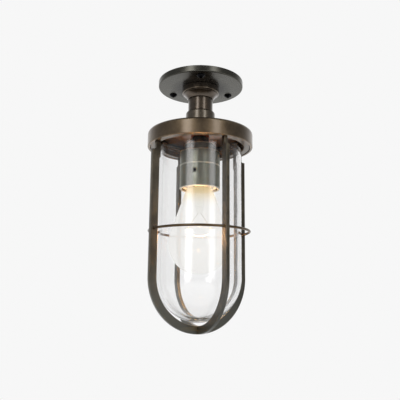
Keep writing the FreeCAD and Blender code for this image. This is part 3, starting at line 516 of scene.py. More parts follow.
def turn_piece(name, outline, finish, body, slot, replaced=(), turns=TURNS, thread=None,
               sharp=SHARP):
    """Spins an outline about the Z axis. thread(radius, height, turn) may shift each radius."""
    profile = round_corners(outline)
    vertices = []
    rows = []
    wear = []
    for across, up, rubbed_and_sheen in profile:
        if abs(across) < SAME:
            rows.append([len(vertices)] * turns)
            vertices.append((0.0, 0.0, up))
            wear.append(rubbed_and_sheen)
            continue
        rows.append(list(range(len(vertices), len(vertices) + turns)))
        for k in range(turns):
            angle = 2 * math.pi * k / turns
            radius = thread(across, up, angle) if thread else across
            vertices.append((radius * math.cos(angle), radius * math.sin(angle), up))
            wear.append(rubbed_and_sheen)
    faces = []
    for i, row in enumerate(rows):
        following = rows[(i + 1) % len(rows)]
        for k in range(turns):
            corners = [row[k], row[(k + 1) % turns], following[(k + 1) % turns], following[k]]
            corners = list(dict.fromkeys(corners))
            if len(corners) > 2:
                faces.append(corners)
    piece = mesh_piece(name, vertices, faces, finish, body, slot, replaced, sharp=sharp)
    if len(piece.data.vertices) == len(wear):
        rub = piece.data.attributes.new("rubbed_and_sheen", "FLOAT", "POINT")
        rub.data.foreach_set("value", wear)
    print(f"{name}: {len(piece.data.vertices)} vertices")
    return piece


WALL_MARGIN = 0.2    # mm, takes in the wall's thread
CEILING_MARGIN = 0.01


def mark_inside(piece, radius, top, bottom):
    """Sets the attribute "inside" on what lies within a radius, between two heights: the cap's
    unstained inside, whose tone also stands in for the bulb's warm glow.
    """
    flags = [1.0 if math.hypot(v.co.x, v.co.y) < (radius + WALL_MARGIN) * MM
             and bottom * MM < v.co.z < (top + CEILING_MARGIN) * MM else 0.0
             for v in piece.data.vertices]
    piece.data.attributes.new("inside", "FLOAT", "POINT").data.foreach_set("value", flags)


# %% [markdown]
# ## Ceiling plate and small pieces
# The plate is a turned disc with a softly rounded rim, a recess above for the nut and the wires, and
# three holes. It could be spun anew like the neck, but the CAD piece is kept, because its holes are
# already cut where the screws are. It only gets its finish, and so do the small pieces.

# %% Finishes of the pieces that are kept
DRESSED = {
    "ceiling_plate": PLATE_BRASS, "fixing_screws": BLACK_STEEL, "earth_screw": ROD_BRASS,
    "rod_top_nut": ZINC_STEEL, "rod_top_washer": ZINC_STEEL, "hollow_rod": ROD_BRASS,
    "cap_nut": BLACK_STEEL, "cap_washer": FIBRE, "glass_seal": RUBBER,
    "lampholder_grub_screw": BLACK_STEEL, "lampholder_insulator": STEATITE,
    "terminal_screws": CONTACT_BRASS, "centre_contact": CONTACT_BRASS,
    "bulb_tip_contact": SOLDER, "bulb_cap_insulator": VITRITE,
    "bulb_stem": STEM_GLASS, "bulb_lead_wires": LEAD_WIRE}
for node, finish in DRESSED.items():
    for material_slot in frame["nodes"][node].material_slots:
        material_slot.link = "OBJECT"
        material_slot.material = finish
print("kept CAD pieces:", len(DRESSED))

# %% [markdown]
# ## Neck
# Four turned pieces slide onto a hollow rod: a boss, a hollow-sided cup, a tube and a collar. Thin
# grooves part them, and in the picture these read as dark lines. Each gets its own spun outline, so
# that each edge can be as crisp or as soft as it needs to be.

# %% Boss, cup, tube and collar
rod_radius = turned_size("hollow_rod")[0]
ROD_GAP = 0.15  # mm round the rod
hole = rod_radius + ROD_GAP
boss_radius, boss_top, boss_bottom = turned_size("neck_boss")
turn_piece("neck_boss_turned", [
    (hole, boss_bottom, 0), (boss_radius, boss_bottom, 0.8), (boss_radius, boss_top, 0.25),
    (hole, boss_top, 0)], NECK_BRASS, "root", "neck_brass", ["neck_boss"])

CUP_FOOT = 13.1    # mm, the cup's radius at its foot
CUP_HOLLOW = 14.0  # mm, radius of the cup's hollow side
GROOVE = 0.4       # mm, height of the grooves that part the pieces
GROOVE_DEPTH = 0.9
HOLLOW_STEPS = 14
cup_radius, cup_top, cup_bottom = turned_size("neck_cup")
tube_radius, tube_top, tube_bottom = turned_size("neck_tube")


def hollow_side(foot, foot_up, top, top_up, radius):
    """Points on the hollow arc between a cup's foot and its rim."""
    start, end = Vector((foot, foot_up)), Vector((top, top_up))
    chord = end - start
    rise = math.sqrt(radius * radius - chord.length_squared / 4)
    centre = (start + end) / 2 + Vector((chord.y, -chord.x)).normalized() * rise
    return [(*(centre + (start - centre).slerp(end - centre, k / HOLLOW_STEPS) * radius), 0)
            for k in range(1, HOLLOW_STEPS)]


side = hollow_side(CUP_FOOT, cup_bottom + GROOVE, cup_radius, cup_top - GROOVE, CUP_HOLLOW)
turn_piece("neck_cup_turned", [
    (hole, cup_bottom, 0), (tube_radius - GROOVE_DEPTH, cup_bottom, 0),
    (tube_radius - GROOVE_DEPTH, cup_bottom + GROOVE, 0), (CUP_FOOT, cup_bottom + GROOVE, 0.15),
    *side, (cup_radius, cup_top - GROOVE, 0.15), (cup_radius - GROOVE_DEPTH, cup_top - GROOVE, 0),
    (cup_radius - GROOVE_DEPTH, cup_top, 0), (hole, cup_top, 0)],
    NECK_BRASS, "root", "neck_brass", ["neck_cup"])
turn_piece("neck_tube_turned", [
    (hole, tube_bottom, 0), (tube_radius, tube_bottom, 0.2), (tube_radius, tube_top, 0.2),
    (hole, tube_top, 0)], NECK_BRASS, "root", "neck_brass", ["neck_tube"])
collar_radius, collar_top, collar_bottom = turned_size("neck_collar")
turn_piece("neck_collar_turned", [
    (hole, collar_bottom, 0), (collar_radius, collar_bottom, 0.3), (collar_radius, collar_top, 2.2),
    (hole, collar_top, 0)], COLLAR_BRASS, "root", "neck_brass", ["neck_collar"])

# %% [markdown]
# ## Cap
# The cap is a turned drum: a flat top, a rounded shoulder, and a lip that is threaded inside for the
# guard. The thread is a ridge that climbs by one pitch per turn, so the radius follows a wave of the
# height and the angle together, and fades at both ends as a cut thread does.

# %% A thread as a wave that climbs
ROWS_PER_PITCH = 8


def climbing_wave(wall, low, high, pitch, depth):
    """A function that shifts points of one wall, between two heights, into a thread."""
    def shift(radius, up, angle):
        """The radius of a point after the thread is cut."""
        if abs(radius - wall) > SAME or not low < up < high:
            return radius
        fade = min(1.0, (up - low) / pitch, (high - up) / pitch)
        return radius + depth * fade * math.cos(2 * math.pi * up / pitch - angle)
    return shift


def wall_rows(wall, first, last, pitch):
    """Points along a threaded wall."""
    count = max(1, round(abs(last - first) / pitch * ROWS_PER_PITCH))
    return [(wall, first + (last - first) * k / count, 0) for k in range(1, count)]


# %% Cap with its inner thread
CAP_LIP = 2.5
CAP_CEILING = 3.0
GUARD_PITCH = 1.5   # mm, the guard's thread
GUARD_THREAD = 0.16  # mm, half the depth at which that thread is drawn
THREAD_TURNS = 240   # facets round a threaded piece
RELIEF = 1.0         # mm, plain wall above the cap's thread, down from the glass's top
LEAD_IN = 0.6        # mm, plain wall below it
cap_radius, cap_top, cap_bottom = turned_size("cap")
lip = cap_radius - CAP_LIP
ceiling = cap_top - CAP_CEILING
glass_radius, glass_top, glass_bottom = turned_size("well_glass")
thread_top = glass_top - RELIEF
thread_bottom = cap_bottom + LEAD_IN
cap_piece = turn_piece("cap_turned", [
    (hole, ceiling, 0), (lip, ceiling, 0.9), (lip, thread_top, 0),
    *wall_rows(lip, thread_top, thread_bottom, GUARD_PITCH), (lip, thread_bottom, 0),
    (lip, cap_bottom, 0.3), (cap_radius, cap_bottom, 0.9), (cap_radius, cap_top, 2.9),
    (hole, cap_top, 0)], CAP_BRASS, "root", "cap_brass", ["cap"], turns=THREAD_TURNS,
    thread=climbing_wave(lip, thread_bottom, thread_top, GUARD_PITCH, GUARD_THREAD))
mark_inside(cap_piece, lip, ceiling, thread_bottom)

# %% [markdown]
# ## Guard collar
# The ring that screws into the cap and lifts the glass. It carries the outer half of the same thread,
# and the four bars are brazed under it.

# %% Threaded collar
collar_outer, guard_top, guard_bottom = turned_size("guard_collar")
COLLAR_INSIDE = 43.6  # mm, radius that the glass passes
COLLAR_CHAMFER = 0.6
turn_piece("guard_collar_turned", [
    (COLLAR_INSIDE, guard_bottom, 0.4), (collar_outer, guard_bottom, 0.3),
    (collar_outer, guard_bottom + COLLAR_CHAMFER, 0),
    *wall_rows(collar_outer, guard_bottom + COLLAR_CHAMFER, guard_top - COLLAR_CHAMFER, GUARD_PITCH),
    (collar_outer, guard_top - COLLAR_CHAMFER, 0), (collar_outer - COLLAR_CHAMFER, guard_top, 0),
    (COLLAR_INSIDE + COLLAR_CHAMFER, guard_top, 0),
    (COLLAR_INSIDE, guard_top - COLLAR_CHAMFER, 0)],
    GUARD_BRASS, "guard", "guard_brass", ["guard_collar"], turns=THREAD_TURNS,
    thread=climbing_wave(collar_outer, guard_bottom + COLLAR_CHAMFER, guard_top - COLLAR_CHAMFER,
                         GUARD_PITCH, -GUARD_THREAD))

# %% [markdown]
# ## Guard bars
# Two long hoops of flat bar, bent on edge, cross under the glass and are halved into each other there.
# At the top each leg is notched, so that it passes inside the cap's lip. A filled 2D curve
# gives such a plate directly, with an even rounding along every edge, and is then made a mesh.

# %% Hoop outline with its notches and half lap
HOOP_RADIUS = 52.7    # mm, of the hoop's outer edge
BAR_WIDTH = 7.8
BAR_THICKNESS = 3.55
NOTCH_HEIGHT = 8.2
NOTCH_ROUND = 1.6
NOTCH_STEP = 15       # degrees between the points of the notch's rounding
NOTCH_GAP = 0.5
TAB_STEP = 1.1
TAB_STEP_HEIGHT = 15.6
BEND_STEPS = 72
hoop_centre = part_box("guard_hoop_a")[0].z / MM + HOOP_RADIUS
print("the hoops bend about", round(hoop_centre, 1), "mm")


def hoop_outline(lap_side):
    """Corner points of a hoop in its own plane, as (across, up), with the lap cut on one side."""
    inner = HOOP_RADIUS - BAR_WIDTH
    tab_inner = inner - TAB_STEP
    tab_outer = collar_outer - NOTCH_GAP
    shelf = guard_bottom - NOTCH_HEIGHT
    step = guard_bottom - TAB_STEP_HEIGHT
    fillet = [(tab_outer + NOTCH_ROUND * (1 - math.cos(t)), shelf + NOTCH_ROUND * (1 - math.sin(t)))
              for t in (math.radians(angle) for angle in range(0, 91, NOTCH_STEP))]
    leg = [(inner, step - TAB_STEP), (tab_inner, step), (tab_inner, guard_bottom),
           (tab_outer, guard_bottom), *fillet, (HOOP_RADIUS, shelf)]
    half_lap = BAR_THICKNESS / 2
    lap_up = hoop_centre - HOOP_RADIUS + BAR_WIDTH / 2

    def bend(radius, cut):
        """The half circle from +x to -x, with the lap's notch at its foot."""
        points = []
        for k in range(BEND_STEPS + 1):
            turn = math.pi * k / BEND_STEPS
            across, up = radius * math.cos(turn), hoop_centre - radius * math.sin(turn)
            if cut and abs(across) <= half_lap:
                continue
            points.append((across, up))
        if cut:
            foot = hoop_centre - math.sqrt(radius * radius - half_lap * half_lap)
            middle = next(i for i, p in enumerate(points) if p[0] < 0)
            points[middle:middle] = [(half_lap, foot), (half_lap, lap_up), (-half_lap, lap_up),
                                     (-half_lap, foot)]
        return points

    outer_bend = bend(HOOP_RADIUS, lap_side < 0)
    inner_bend = bend(inner, lap_side > 0)
    return [*leg, *outer_bend, *[(-x, y) for x, y in reversed(leg)], *reversed(inner_bend)]


# %% A filled curve, turned into a mesh
BAR_EDGE = 0.5  # mm, rounding of the bar's long edges


def shown_mesh(shown):
    """The mesh that Blender shows for an object, with its curve or its modifiers worked out."""
    bpy.context.view_layer.update()
    return bpy.data.meshes.new_from_object(shown.evaluated_get(
        bpy.context.evaluated_depsgraph_get()))


def curve_mesh(name, curve):
    """The mesh of a curve."""
    holder = add_object(name, curve)
    mesh = shown_mesh(holder)
    bpy.data.objects.remove(holder)
    return mesh


def plate_mesh(name, outline):
    """A plate of this outline with rounded edges, lying flat."""
    curve = bpy.data.curves.new(name, "CURVE")
    curve.dimensions = "2D"
    curve.fill_mode = "BOTH"
    curve.extrude = (BAR_THICKNESS / 2 - BAR_EDGE) * MM
    curve.bevel_depth = BAR_EDGE * MM
    curve.bevel_resolution = 3
    curve.offset = -BAR_EDGE * MM
    spline = curve.splines.new("POLY")
    spline.points.add(len(outline) - 1)
    for point, (across, up) in zip(spline.points, outline):
        point.co = (across * MM, up * MM, 0.0, 1.0)
    spline.use_cyclic_u = True
    return curve_mesh(name + "_curve", curve)


# %% Hoops stood upright, with rubbed edges and a bare crossing
HOOP_AZIMUTH = 29.15  # degrees
BRAZED = 3.6          # mm from the axis, how far the bare brass of the brazed crossing shows
EDGE_WEAR = 0.9       # of the attribute "rubbed" on the bar's edges
FACE_SKIN = 0.05      # mm, what lies deeper than this below the flat faces is edge


def flat_bar(name, outline, azimuth, finish, body, replaced):
    """A plate of this outline, stood upright in a plane through the axis."""
    mesh = plate_mesh(name, outline)
    mesh.transform(Matrix.Rotation(math.radians(azimuth), 4, "Z") @ Matrix.Rotation(
        math.radians(90), 4, "X"))
    clean_mesh(mesh, CURVE_MERGE, SHARP)
    mesh.name = name
    mesh.materials.clear()
    mesh.materials.append(finish)
    normal = Vector((0, 1, 0))
    normal.rotate(Matrix.Rotation(math.radians(azimuth), 3, "Z"))
    face = (BAR_THICKNESS / 2 - FACE_SKIN) * MM
    mesh.attributes.new("rubbed_and_sheen", "FLOAT", "POINT").data.foreach_set("value", [
        0.0 if abs(v.co.dot(normal)) > face else EDGE_WEAR for v in mesh.vertices])
    mesh.attributes.new("inside", "FLOAT", "POINT").data.foreach_set("value", [
        max(0.0, 1 - math.hypot(v.co.x, v.co.y) / (BRAZED * MM)) if v.co.z < hoop_centre * MM else 0.0
        for v in mesh.vertices])
    piece = add_object(name, mesh)
    piece.modifiers.new("weighted_normals", "WEIGHTED_NORMAL").keep_sharp = True
    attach(piece, body)
    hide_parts(replaced)
    print(f"{name}: {len(mesh.vertices)} vertices")


flat_bar("guard_hoop_a_bar", hoop_outline(1), HOOP_AZIMUTH, BAR_BRASS, "guard",
         "guard_hoop_a")
flat_bar("guard_hoop_b_bar", hoop_outline(-1), HOOP_AZIMUTH + 90, BAR_BRASS, "guard",
         "guard_hoop_b")

# %% [markdown]
# ## Wire ring
# A round wire passes through all four bars and is brazed to each. The braze leaves a small fillet
# on both sides of every bar, so the ring is a tube whose radius swells beside them.

# %% Ring with braze fillets
ring_low, ring_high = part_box("guard_wire_ring")
ring_level = (ring_low.z + ring_high.z) / 2 / MM
wire_radius = (ring_high.z - ring_low.z) / 2 / MM
ring_radius = HOOP_RADIUS - BAR_WIDTH / 2
RING_STEPS = 720
WIRE_SIDES = 20
FILLET = 0.55        # mm, how far the braze stands off the wire
FILLET_LENGTH = 1.1  # mm along the wire


def braze_ring():
    """Vertices and faces of a tube that swells beside each bar."""
    vertices, faces = [], []
    for i in range(RING_STEPS):
        turn = 360 * i / RING_STEPS
        beside = abs((turn - HOOP_AZIMUTH + 45) % 90 - 45)
        gap = max(0.0, math.radians(beside) * ring_radius - BAR_THICKNESS / 2)
        thick = wire_radius + FILLET * math.exp(-(gap / FILLET_LENGTH) ** 2 * 2)
        for k in range(WIRE_SIDES):
            around = 2 * math.pi * k / WIRE_SIDES
            reach = ring_radius + thick * math.cos(around)
            vertices.append((reach * math.cos(math.radians(turn)),
                             reach * math.sin(math.radians(turn)),
                             ring_level + thick * math.sin(around)))
    for i in range(RING_STEPS):
        for k in range(WIRE_SIDES):
            a, b = i * WIRE_SIDES, ((i + 1) % RING_STEPS) * WIRE_SIDES
            j = (k + 1) % WIRE_SIDES
            faces.append([a + k, b + k, b + j, a + j])
    return vertices, faces


mesh_piece("guard_wire_ring_brazed", *braze_ring(), RING_BRASS, "guard", "guard_brass",
           ["guard_wire_ring"])
print("ring of radius", round(ring_radius, 2), "mm at", round(ring_level, 1), "mm")

# %% [markdown]
# ## Well glass
# A deep pressed tumbler of glass with a flange at its mouth. Both its walls are modelled, because the
# light bends at each of them, and the bowl's floor is a little thicker than its sides. Spinning the
# whole outline allows that, where a sheet that a modifier thickens would be even all over.

# %% Glass shell
GLASS_RADIUS = 41.1
GLASS_WALL = 2.5
FLANGE = 3.3       # mm, height of the flange
GLASS_FILLET = 1.8
BOWL_EXTRA = 1.2   # mm, how much deeper the bowl is outside than a half ball
BOWL_STEPS = 48
GLASS_TURNS = 192  # facets round the glass
glass_inner = GLASS_RADIUS - GLASS_WALL
bowl_centre = glass_bottom + GLASS_RADIUS + BOWL_EXTRA
bowl = (GLASS_RADIUS + BOWL_EXTRA) / GLASS_RADIUS
turn_piece("well_glass_pressed", [
    *arc(bowl_centre, GLASS_RADIUS, 0, 90, BOWL_STEPS, stretch=bowl),
    (GLASS_RADIUS, glass_top - FLANGE, GLASS_FILLET), (glass_radius, glass_top - FLANGE, 1.0),
    (glass_radius, glass_top, 1.0), (glass_inner, glass_top, 0.8),
    *arc(bowl_centre, glass_inner, 90, 0, BOWL_STEPS)],
    WELL_GLASS, "glass", "clear_glass", ["well_glass"], turns=GLASS_TURNS, sharp=GLASS_SHARP)

# %% [markdown]
# ## Lampholder
# Two spun shells screw together at a seam. The upper one has a stepped shoulder, the lower one a
# turned-in mouth. Spun metal has no sharp corners, so each edge that shows is rounded. The hole for
# the grub screw lies across the axis, where a spun outline can't make it, so it is cut afterwards.

# %% Upper and lower shell
HOLDER_WALL = 1.2
HOLDER_NECK = 16.0  # mm, radius of the upper shell's narrow top
HOLDER_NECK_HEIGHT = 7.3
HOLDER_ENTRY = 8.0  # mm, radius of the threaded boss inside it
HOLDER_ENTRY_LENGTH = 5.5
MOUTH = 17.9        # mm, radius of the turned-in mouth
MOUTH_HEIGHT = 1.4
SPIGOT_GAP = 0.05
SEAM_GAP = 0.12     # mm, half of the fine dark line between the shells
holder_radius, holder_top, seam = turned_size("lampholder_cap")
spigot_top, mouth = turned_size("lampholder_skirt")[1:]
shoulder = holder_top - HOLDER_NECK_HEIGHT
inside = holder_radius - HOLDER_WALL
turn_piece("lampholder_cap_spun", [
    (rod_radius, holder_top - HOLDER_ENTRY_LENGTH, 0.2),
    (HOLDER_ENTRY, holder_top - HOLDER_ENTRY_LENGTH, 0.3),
    (HOLDER_ENTRY, holder_top - HOLDER_WALL, 0.3),
    (HOLDER_NECK - HOLDER_WALL, holder_top - HOLDER_WALL, 0.5),
    (HOLDER_NECK - HOLDER_WALL, shoulder - HOLDER_WALL, 0.3),
    (inside, shoulder - HOLDER_WALL, 0.5), (inside, seam + SEAM_GAP, 0.1),
    (holder_radius, seam + SEAM_GAP, 0.3), (holder_radius, shoulder, 1.4),
    (HOLDER_NECK, shoulder, 0.4), (HOLDER_NECK, holder_top, 1.2), (rod_radius, holder_top, 0.2)],
    NICKEL, "root", "nickel", ["lampholder_cap"])
spigot = inside - SPIGOT_GAP
skirt_piece = turn_piece("lampholder_skirt_spun", [
    (spigot - HOLDER_WALL, seam - HOLDER_WALL, 0), (inside, seam - 2 * HOLDER_WALL, 0),
    (inside, mouth + MOUTH_HEIGHT, 0.3), (MOUTH, mouth + MOUTH_HEIGHT, 0.3), (MOUTH, mouth, 0.4),
    (holder_radius, mouth, 0.9), (holder_radius, seam - SEAM_GAP, 0.3),
    (spigot, seam - SEAM_GAP, 0), (spigot, spigot_top, 0.2), (spigot - HOLDER_WALL, spigot_top, 0.2)],
    NICKEL, "root", "nickel", ["lampholder_skirt"])

# %% Countersunk hole for the grub screw
HOLE_REACH = 6.0  # mm, from the shell's face inwards
HOLE_PROUD = 3.0  # mm, from the face outwards, so that the hole is cut through
SINK_DEPTH = 0.7  # mm, of the countersink
SINK_WIDTH = 1.3  # mm, how much wider it is than the hole
CUTTER_SIDES = 40
grub_low, grub_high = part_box("lampholder_grub_screw")
grub_place = (grub_low + grub_high) / 2
grub_way = Vector((grub_place.x, grub_place.y, 0)).normalized()
grub_radius = (grub_high.z - grub_low.z) / 2


def drill(piece, start, end, wider):
    """Cuts a round hole along the grub screw, between two places from the face outwards in
    millimetres. wider is how much its radius grows on the way. The shading stays smooth."""
    middle = grub_way * (holder_radius + (start + end) / 2) * MM + Vector((0, 0, grub_place.z))
    shape = bmesh.new()
    bmesh.ops.create_cone(
        shape, cap_ends=True, segments=CUTTER_SIDES, depth=(end - start) * MM,
        radius1=grub_radius, radius2=grub_radius + wider * MM,
        matrix=Matrix.Translation(middle) @ grub_way.to_track_quat("Z", "Y").to_matrix().to_4x4())
    cutter_mesh = bpy.data.meshes.new("grub_cutter")
    shape.to_mesh(cutter_mesh)
    shape.free()
    cutter = add_object("grub_cutter", cutter_mesh)
    piece.modifiers.clear()
    cut = piece.modifiers.new("hole", "BOOLEAN")
    cut.object = cutter
    cut.solver = "EXACT"
    mesh = shown_mesh(piece)
    piece.modifiers.clear()
    piece.data = mesh
    piece.modifiers.new("weighted_normals", "WEIGHTED_NORMAL").keep_sharp = True
    bpy.data.objects.remove(cutter)


drill(skirt_piece, -HOLE_REACH, HOLE_PROUD, 0.0)
drill(skirt_piece, -SINK_DEPTH, SINK_DEPTH, 2 * SINK_WIDTH)  # at the face SINK_WIDTH wider
print("skirt with its hole:", len(skirt_piece.data.vertices), "vertices")

# %% [markdown]
# ## Screw shell and bulb cap
# Both carry the coarse round thread of a household lampholder, rolled in thin metal. It is drawn where
# it shows, inside the shell and outside the cap, with the same wave as the guard's thread.

# %% Rolled round thread
ROUND_PITCH = 3.62
ROLL = 0.45         # mm, half the depth of the rolled thread in the bulb's cap
SHELL_ROLL = 0.12   # mm, the same inside the screw shell
SHELL_WALL = 0.5
PLAIN_END = 1.0     # mm of plain shell above its thread
ROLLED_TURNS = 96   # facets round both pieces
shell_radius, shell_top, shell_bottom = turned_size("screw_shell")
shell_inner = shell_radius - SHELL_WALL
SHELL_FLOOR = 8.0   # mm, radius of the hole in the shell's floor
thread_end = shell_top - PLAIN_END


turn_piece("screw_shell_rolled", [
    (shell_inner, shell_bottom, 0), *wall_rows(shell_radius, shell_bottom, thread_end, ROUND_PITCH),
    (shell_radius, shell_top, 0.3), (SHELL_FLOOR, shell_top, 0),
    (SHELL_FLOOR, shell_top - SHELL_WALL, 0), (shell_inner, shell_top - SHELL_WALL, 0.3),
    *wall_rows(shell_inner, thread_end, shell_bottom, ROUND_PITCH)],
    CONTACT_BRASS, "root", "contact_brass", ["screw_shell"], turns=ROLLED_TURNS,
    thread=climbing_wave(shell_inner, shell_bottom, thread_end, ROUND_PITCH, SHELL_ROLL))

cap_shell_radius, cap_shell_top, cap_shell_bottom = turned_size("bulb_cap")
CAP_SHEET = 0.4
CAP_RIM = 1.2           # mm, height of the cap's plain rim
CAP_RIM_STEP = 0.4      # mm more to the thread
INSULATOR_RADIUS = 11.0
crown = cap_shell_top - (cap_shell_radius - INSULATOR_RADIUS)
cap_wall = cap_shell_radius - ROLL
rim_top = cap_shell_bottom + CAP_RIM
thread_start = rim_top + CAP_RIM_STEP
turn_piece("bulb_cap_rolled", [
    (cap_wall - CAP_SHEET, cap_shell_bottom, 0), (cap_shell_radius, cap_shell_bottom, 0.15),
    (cap_shell_radius, rim_top, 0.3), (cap_wall, thread_start, 0),
    *wall_rows(cap_wall, thread_start, crown, ROUND_PITCH), (cap_wall, crown, 0.2),
    (INSULATOR_RADIUS, cap_shell_top, 0), (0, cap_shell_top, 0), (0, cap_shell_top - CAP_SHEET, 0),
    (INSULATOR_RADIUS, cap_shell_top - CAP_SHEET, 0), (cap_wall - CAP_SHEET, crown, 0)],
    BULB_ALUMINIUM, "bulb", "bulb_cap_metal", ["bulb_cap"], turns=ROLLED_TURNS,
    thread=climbing_wave(cap_wall, thread_start, crown, ROUND_PITCH, ROLL))

# %% [markdown]
# ## Bulb
# The envelope is a ball drawn up in a cone to a rounded shoulder, which narrows into the screw cap. The
# cone leaves the ball at a tangent, so the point where it does is worked out. The filament is a fine
# coil bowed between two leads. A curve with a round bevel follows its turns, and is made a mesh.

# %% Envelope
BULB_NECK = 14.6  # mm, radius of the shoulder below the screw cap
BULB_WALL = 0.7
BALL_STEPS = 40
BULB_TURNS = 128  # facets round the bulb
SHOULDER_DROP = BULB_NECK / 3  # mm, from the screw cap's rim to the neck's full width
bulb_centre = bulb_bottom + bulb_radius
neck_up = cap_shell_bottom
shoulder_up = neck_up - SHOULDER_DROP
sleeve = cap_shell_radius - 2 * CAP_SHEET


def touch_turn(across, up, radius):
    """The turn, from straight down, at which a line from a point beside a ball touches it."""
    away = math.hypot(across, up)
    return math.degrees(math.atan2(across, -up) - math.acos(radius / away)) % 360


outer_turn = touch_turn(BULB_NECK, shoulder_up - bulb_centre, bulb_radius)
inner_turn = touch_turn(BULB_NECK - BULB_WALL, shoulder_up - bulb_centre, bulb_radius - BULB_WALL)
turn_piece("bulb_envelope_blown", [
    *arc(bulb_centre, bulb_radius, 0, outer_turn, BALL_STEPS), (BULB_NECK, shoulder_up, 5.0),
    (sleeve, neck_up, 1.5), (sleeve, bulb_top, 0.2), (sleeve - BULB_WALL, bulb_top, 0.2),
    (sleeve - BULB_WALL, neck_up, 1.2), (BULB_NECK - BULB_WALL, shoulder_up, 4.0),
    *arc(bulb_centre, bulb_radius - BULB_WALL, inner_turn, 0, BALL_STEPS)],
    BULB_GLASS, "bulb", "bulb_glass", ["bulb_envelope"], turns=BULB_TURNS, sharp=GLASS_SHARP)

# %% Coiled filament
COIL_RADIUS = 0.38
COIL_WIRE = 0.09
COIL_TURNS = 44
COIL_POINTS = COIL_TURNS * 10
COIL_INSET = 0.4  # mm, from each end of the CAD filament
BOW = 3.8         # mm, how far the middle hangs below the ends
filament_reach = filament_high.x / MM - COIL_INSET
filament_up = filament_high.z / MM - COIL_RADIUS - COIL_WIRE
coil = bpy.data.curves.new("filament_coil", "CURVE")
coil.dimensions = "3D"
coil.bevel_depth = COIL_WIRE * MM
coil.bevel_resolution = 1
line = coil.splines.new("POLY")
line.points.add(COIL_POINTS)
for k in range(COIL_POINTS + 1):
    share = 2 * k / COIL_POINTS - 1
    around = 2 * math.pi * COIL_TURNS * k / COIL_POINTS
    line.points[k].co = (filament_reach * share * MM, COIL_RADIUS * math.cos(around) * MM, (
        filament_up - BOW * (1 - share * share) + COIL_RADIUS * math.sin(around)) * MM, 1.0)
coil_mesh = curve_mesh("filament_curve", coil)
coil_mesh.materials.append(FILAMENT)
coil_mesh.shade_smooth()
filament = add_object("bulb_filament_coil", coil_mesh)
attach(filament, "bulb")
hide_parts("bulb_filament")
print("filament coil:", len(coil_mesh.vertices), "vertices")

# %% [markdown]
# ## Light from the bulb
# The filament is far too thin to light the lantern well by itself, so a small soft lamp sits on it and
# gives the same warm light to the mouth of the lampholder, the bars and the ring.

# %% Warm lamp in the bulb
BULB_WATTS = 0.52
LAMP_RADIUS = 2.0  # mm
lamp_data = bpy.data.lights.new("bulb_light", "POINT")
lamp_data.color = linear("#ffc27d")[:3]
lamp_data.energy = BULB_WATTS
lamp_data.shadow_soft_size = LAMP_RADIUS * MM
lamp = add_object("bulb_light", lamp_data)
lamp.location = (0, 0, GLOW_LEVEL)
lamp.parent = frame["bodies"]["bulb"]
lamp.visible_transmission = False  # the veil of light on the glass stands for it
print("lamp at", round(GLOW_LEVEL / MM, 1), "mm")

# %% [markdown]
# ## Studio
# The room is drawn in the world: a white backdrop behind, a bright floor below and a dim front, which
# gives the metal its dark middle. Two tall soft windows in front, left and right, draw the two upright
# highlights on the turned metal. Pale walls left and right, much dimmer and wider, lighten the flanks
# of the cap and the bars. All edges are feathered, so no hard streak crosses the glass. White cards
# and lamps could do the same, but what is drawn in the world never stands in the camera's way.

# %% A feathered window in the direction sphere
BACKDROP = "#f7f7f7"
world = bpy.data.worlds.new("studio")
bpy.context.scene.world = world
world.use_nodes = True
tree = world.node_tree
tree.nodes.clear()
output = add_node(tree, "ShaderNodeOutputWorld")
direction = add_node(tree, "ShaderNodeTexCoord").outputs["Generated"]
parts = add_node(tree, "ShaderNodeSeparateXYZ", inputs={0: direction})
toward = add_node(tree, "ShaderNodeMath", {"operation": "MULTIPLY"}, {0: parts.outputs[1], 1: -1.0})
azimuth = add_node(tree, "ShaderNodeMath", {"operation": "ARCTAN2"}, {
    0: parts.outputs[0], 1: toward.outputs[0]})


WINDOW_FOOT = (-0.25, 0.05)  # sines of the heights between which the light sets in
WINDOW_HEAD = (0.55, 0.85)   # and ends


def window(centre, half, feather, level):
    """The light of an upright window. Its azimuth is 0 at the camera's side and grows to +X.
    centre, half its width and the feather of its edges are in degrees."""
    aside = add_node(tree, "ShaderNodeMath", {"operation": "SUBTRACT"}, {
        0: azimuth.outputs[0], 1: math.radians(centre)})
    away = add_node(tree, "ShaderNodeMath", {"operation": "ABSOLUTE"}, {0: aside.outputs[0]})
    width = add_node(tree, "ShaderNodeMapRange", SMOOTH, {
        "Value": away.outputs[0], "From Min": math.radians(half - feather),
        "From Max": math.radians(half + feather), "To Min": level, "To Max": 0.0})
    foot = add_node(tree, "ShaderNodeMapRange", SMOOTH, {
        "Value": parts.outputs[2], "From Min": WINDOW_FOOT[0], "From Max": WINDOW_FOOT[1]})
    head = add_node(tree, "ShaderNodeMapRange", SMOOTH, {
        "Value": parts.outputs[2], "From Min": WINDOW_HEAD[0], "From Max": WINDOW_HEAD[1],
        "To Min": 1.0, "To Max": 0.0})
    tall = add_node(tree, "ShaderNodeMath", {"operation": "MULTIPLY"}, {
        0: foot.outputs[0], 1: head.outputs[0]})
    return add_node(tree, "ShaderNodeMath", {"operation": "MULTIPLY"}, {
        0: width.outputs[0], 1: tall.outputs[0]}).outputs[0]


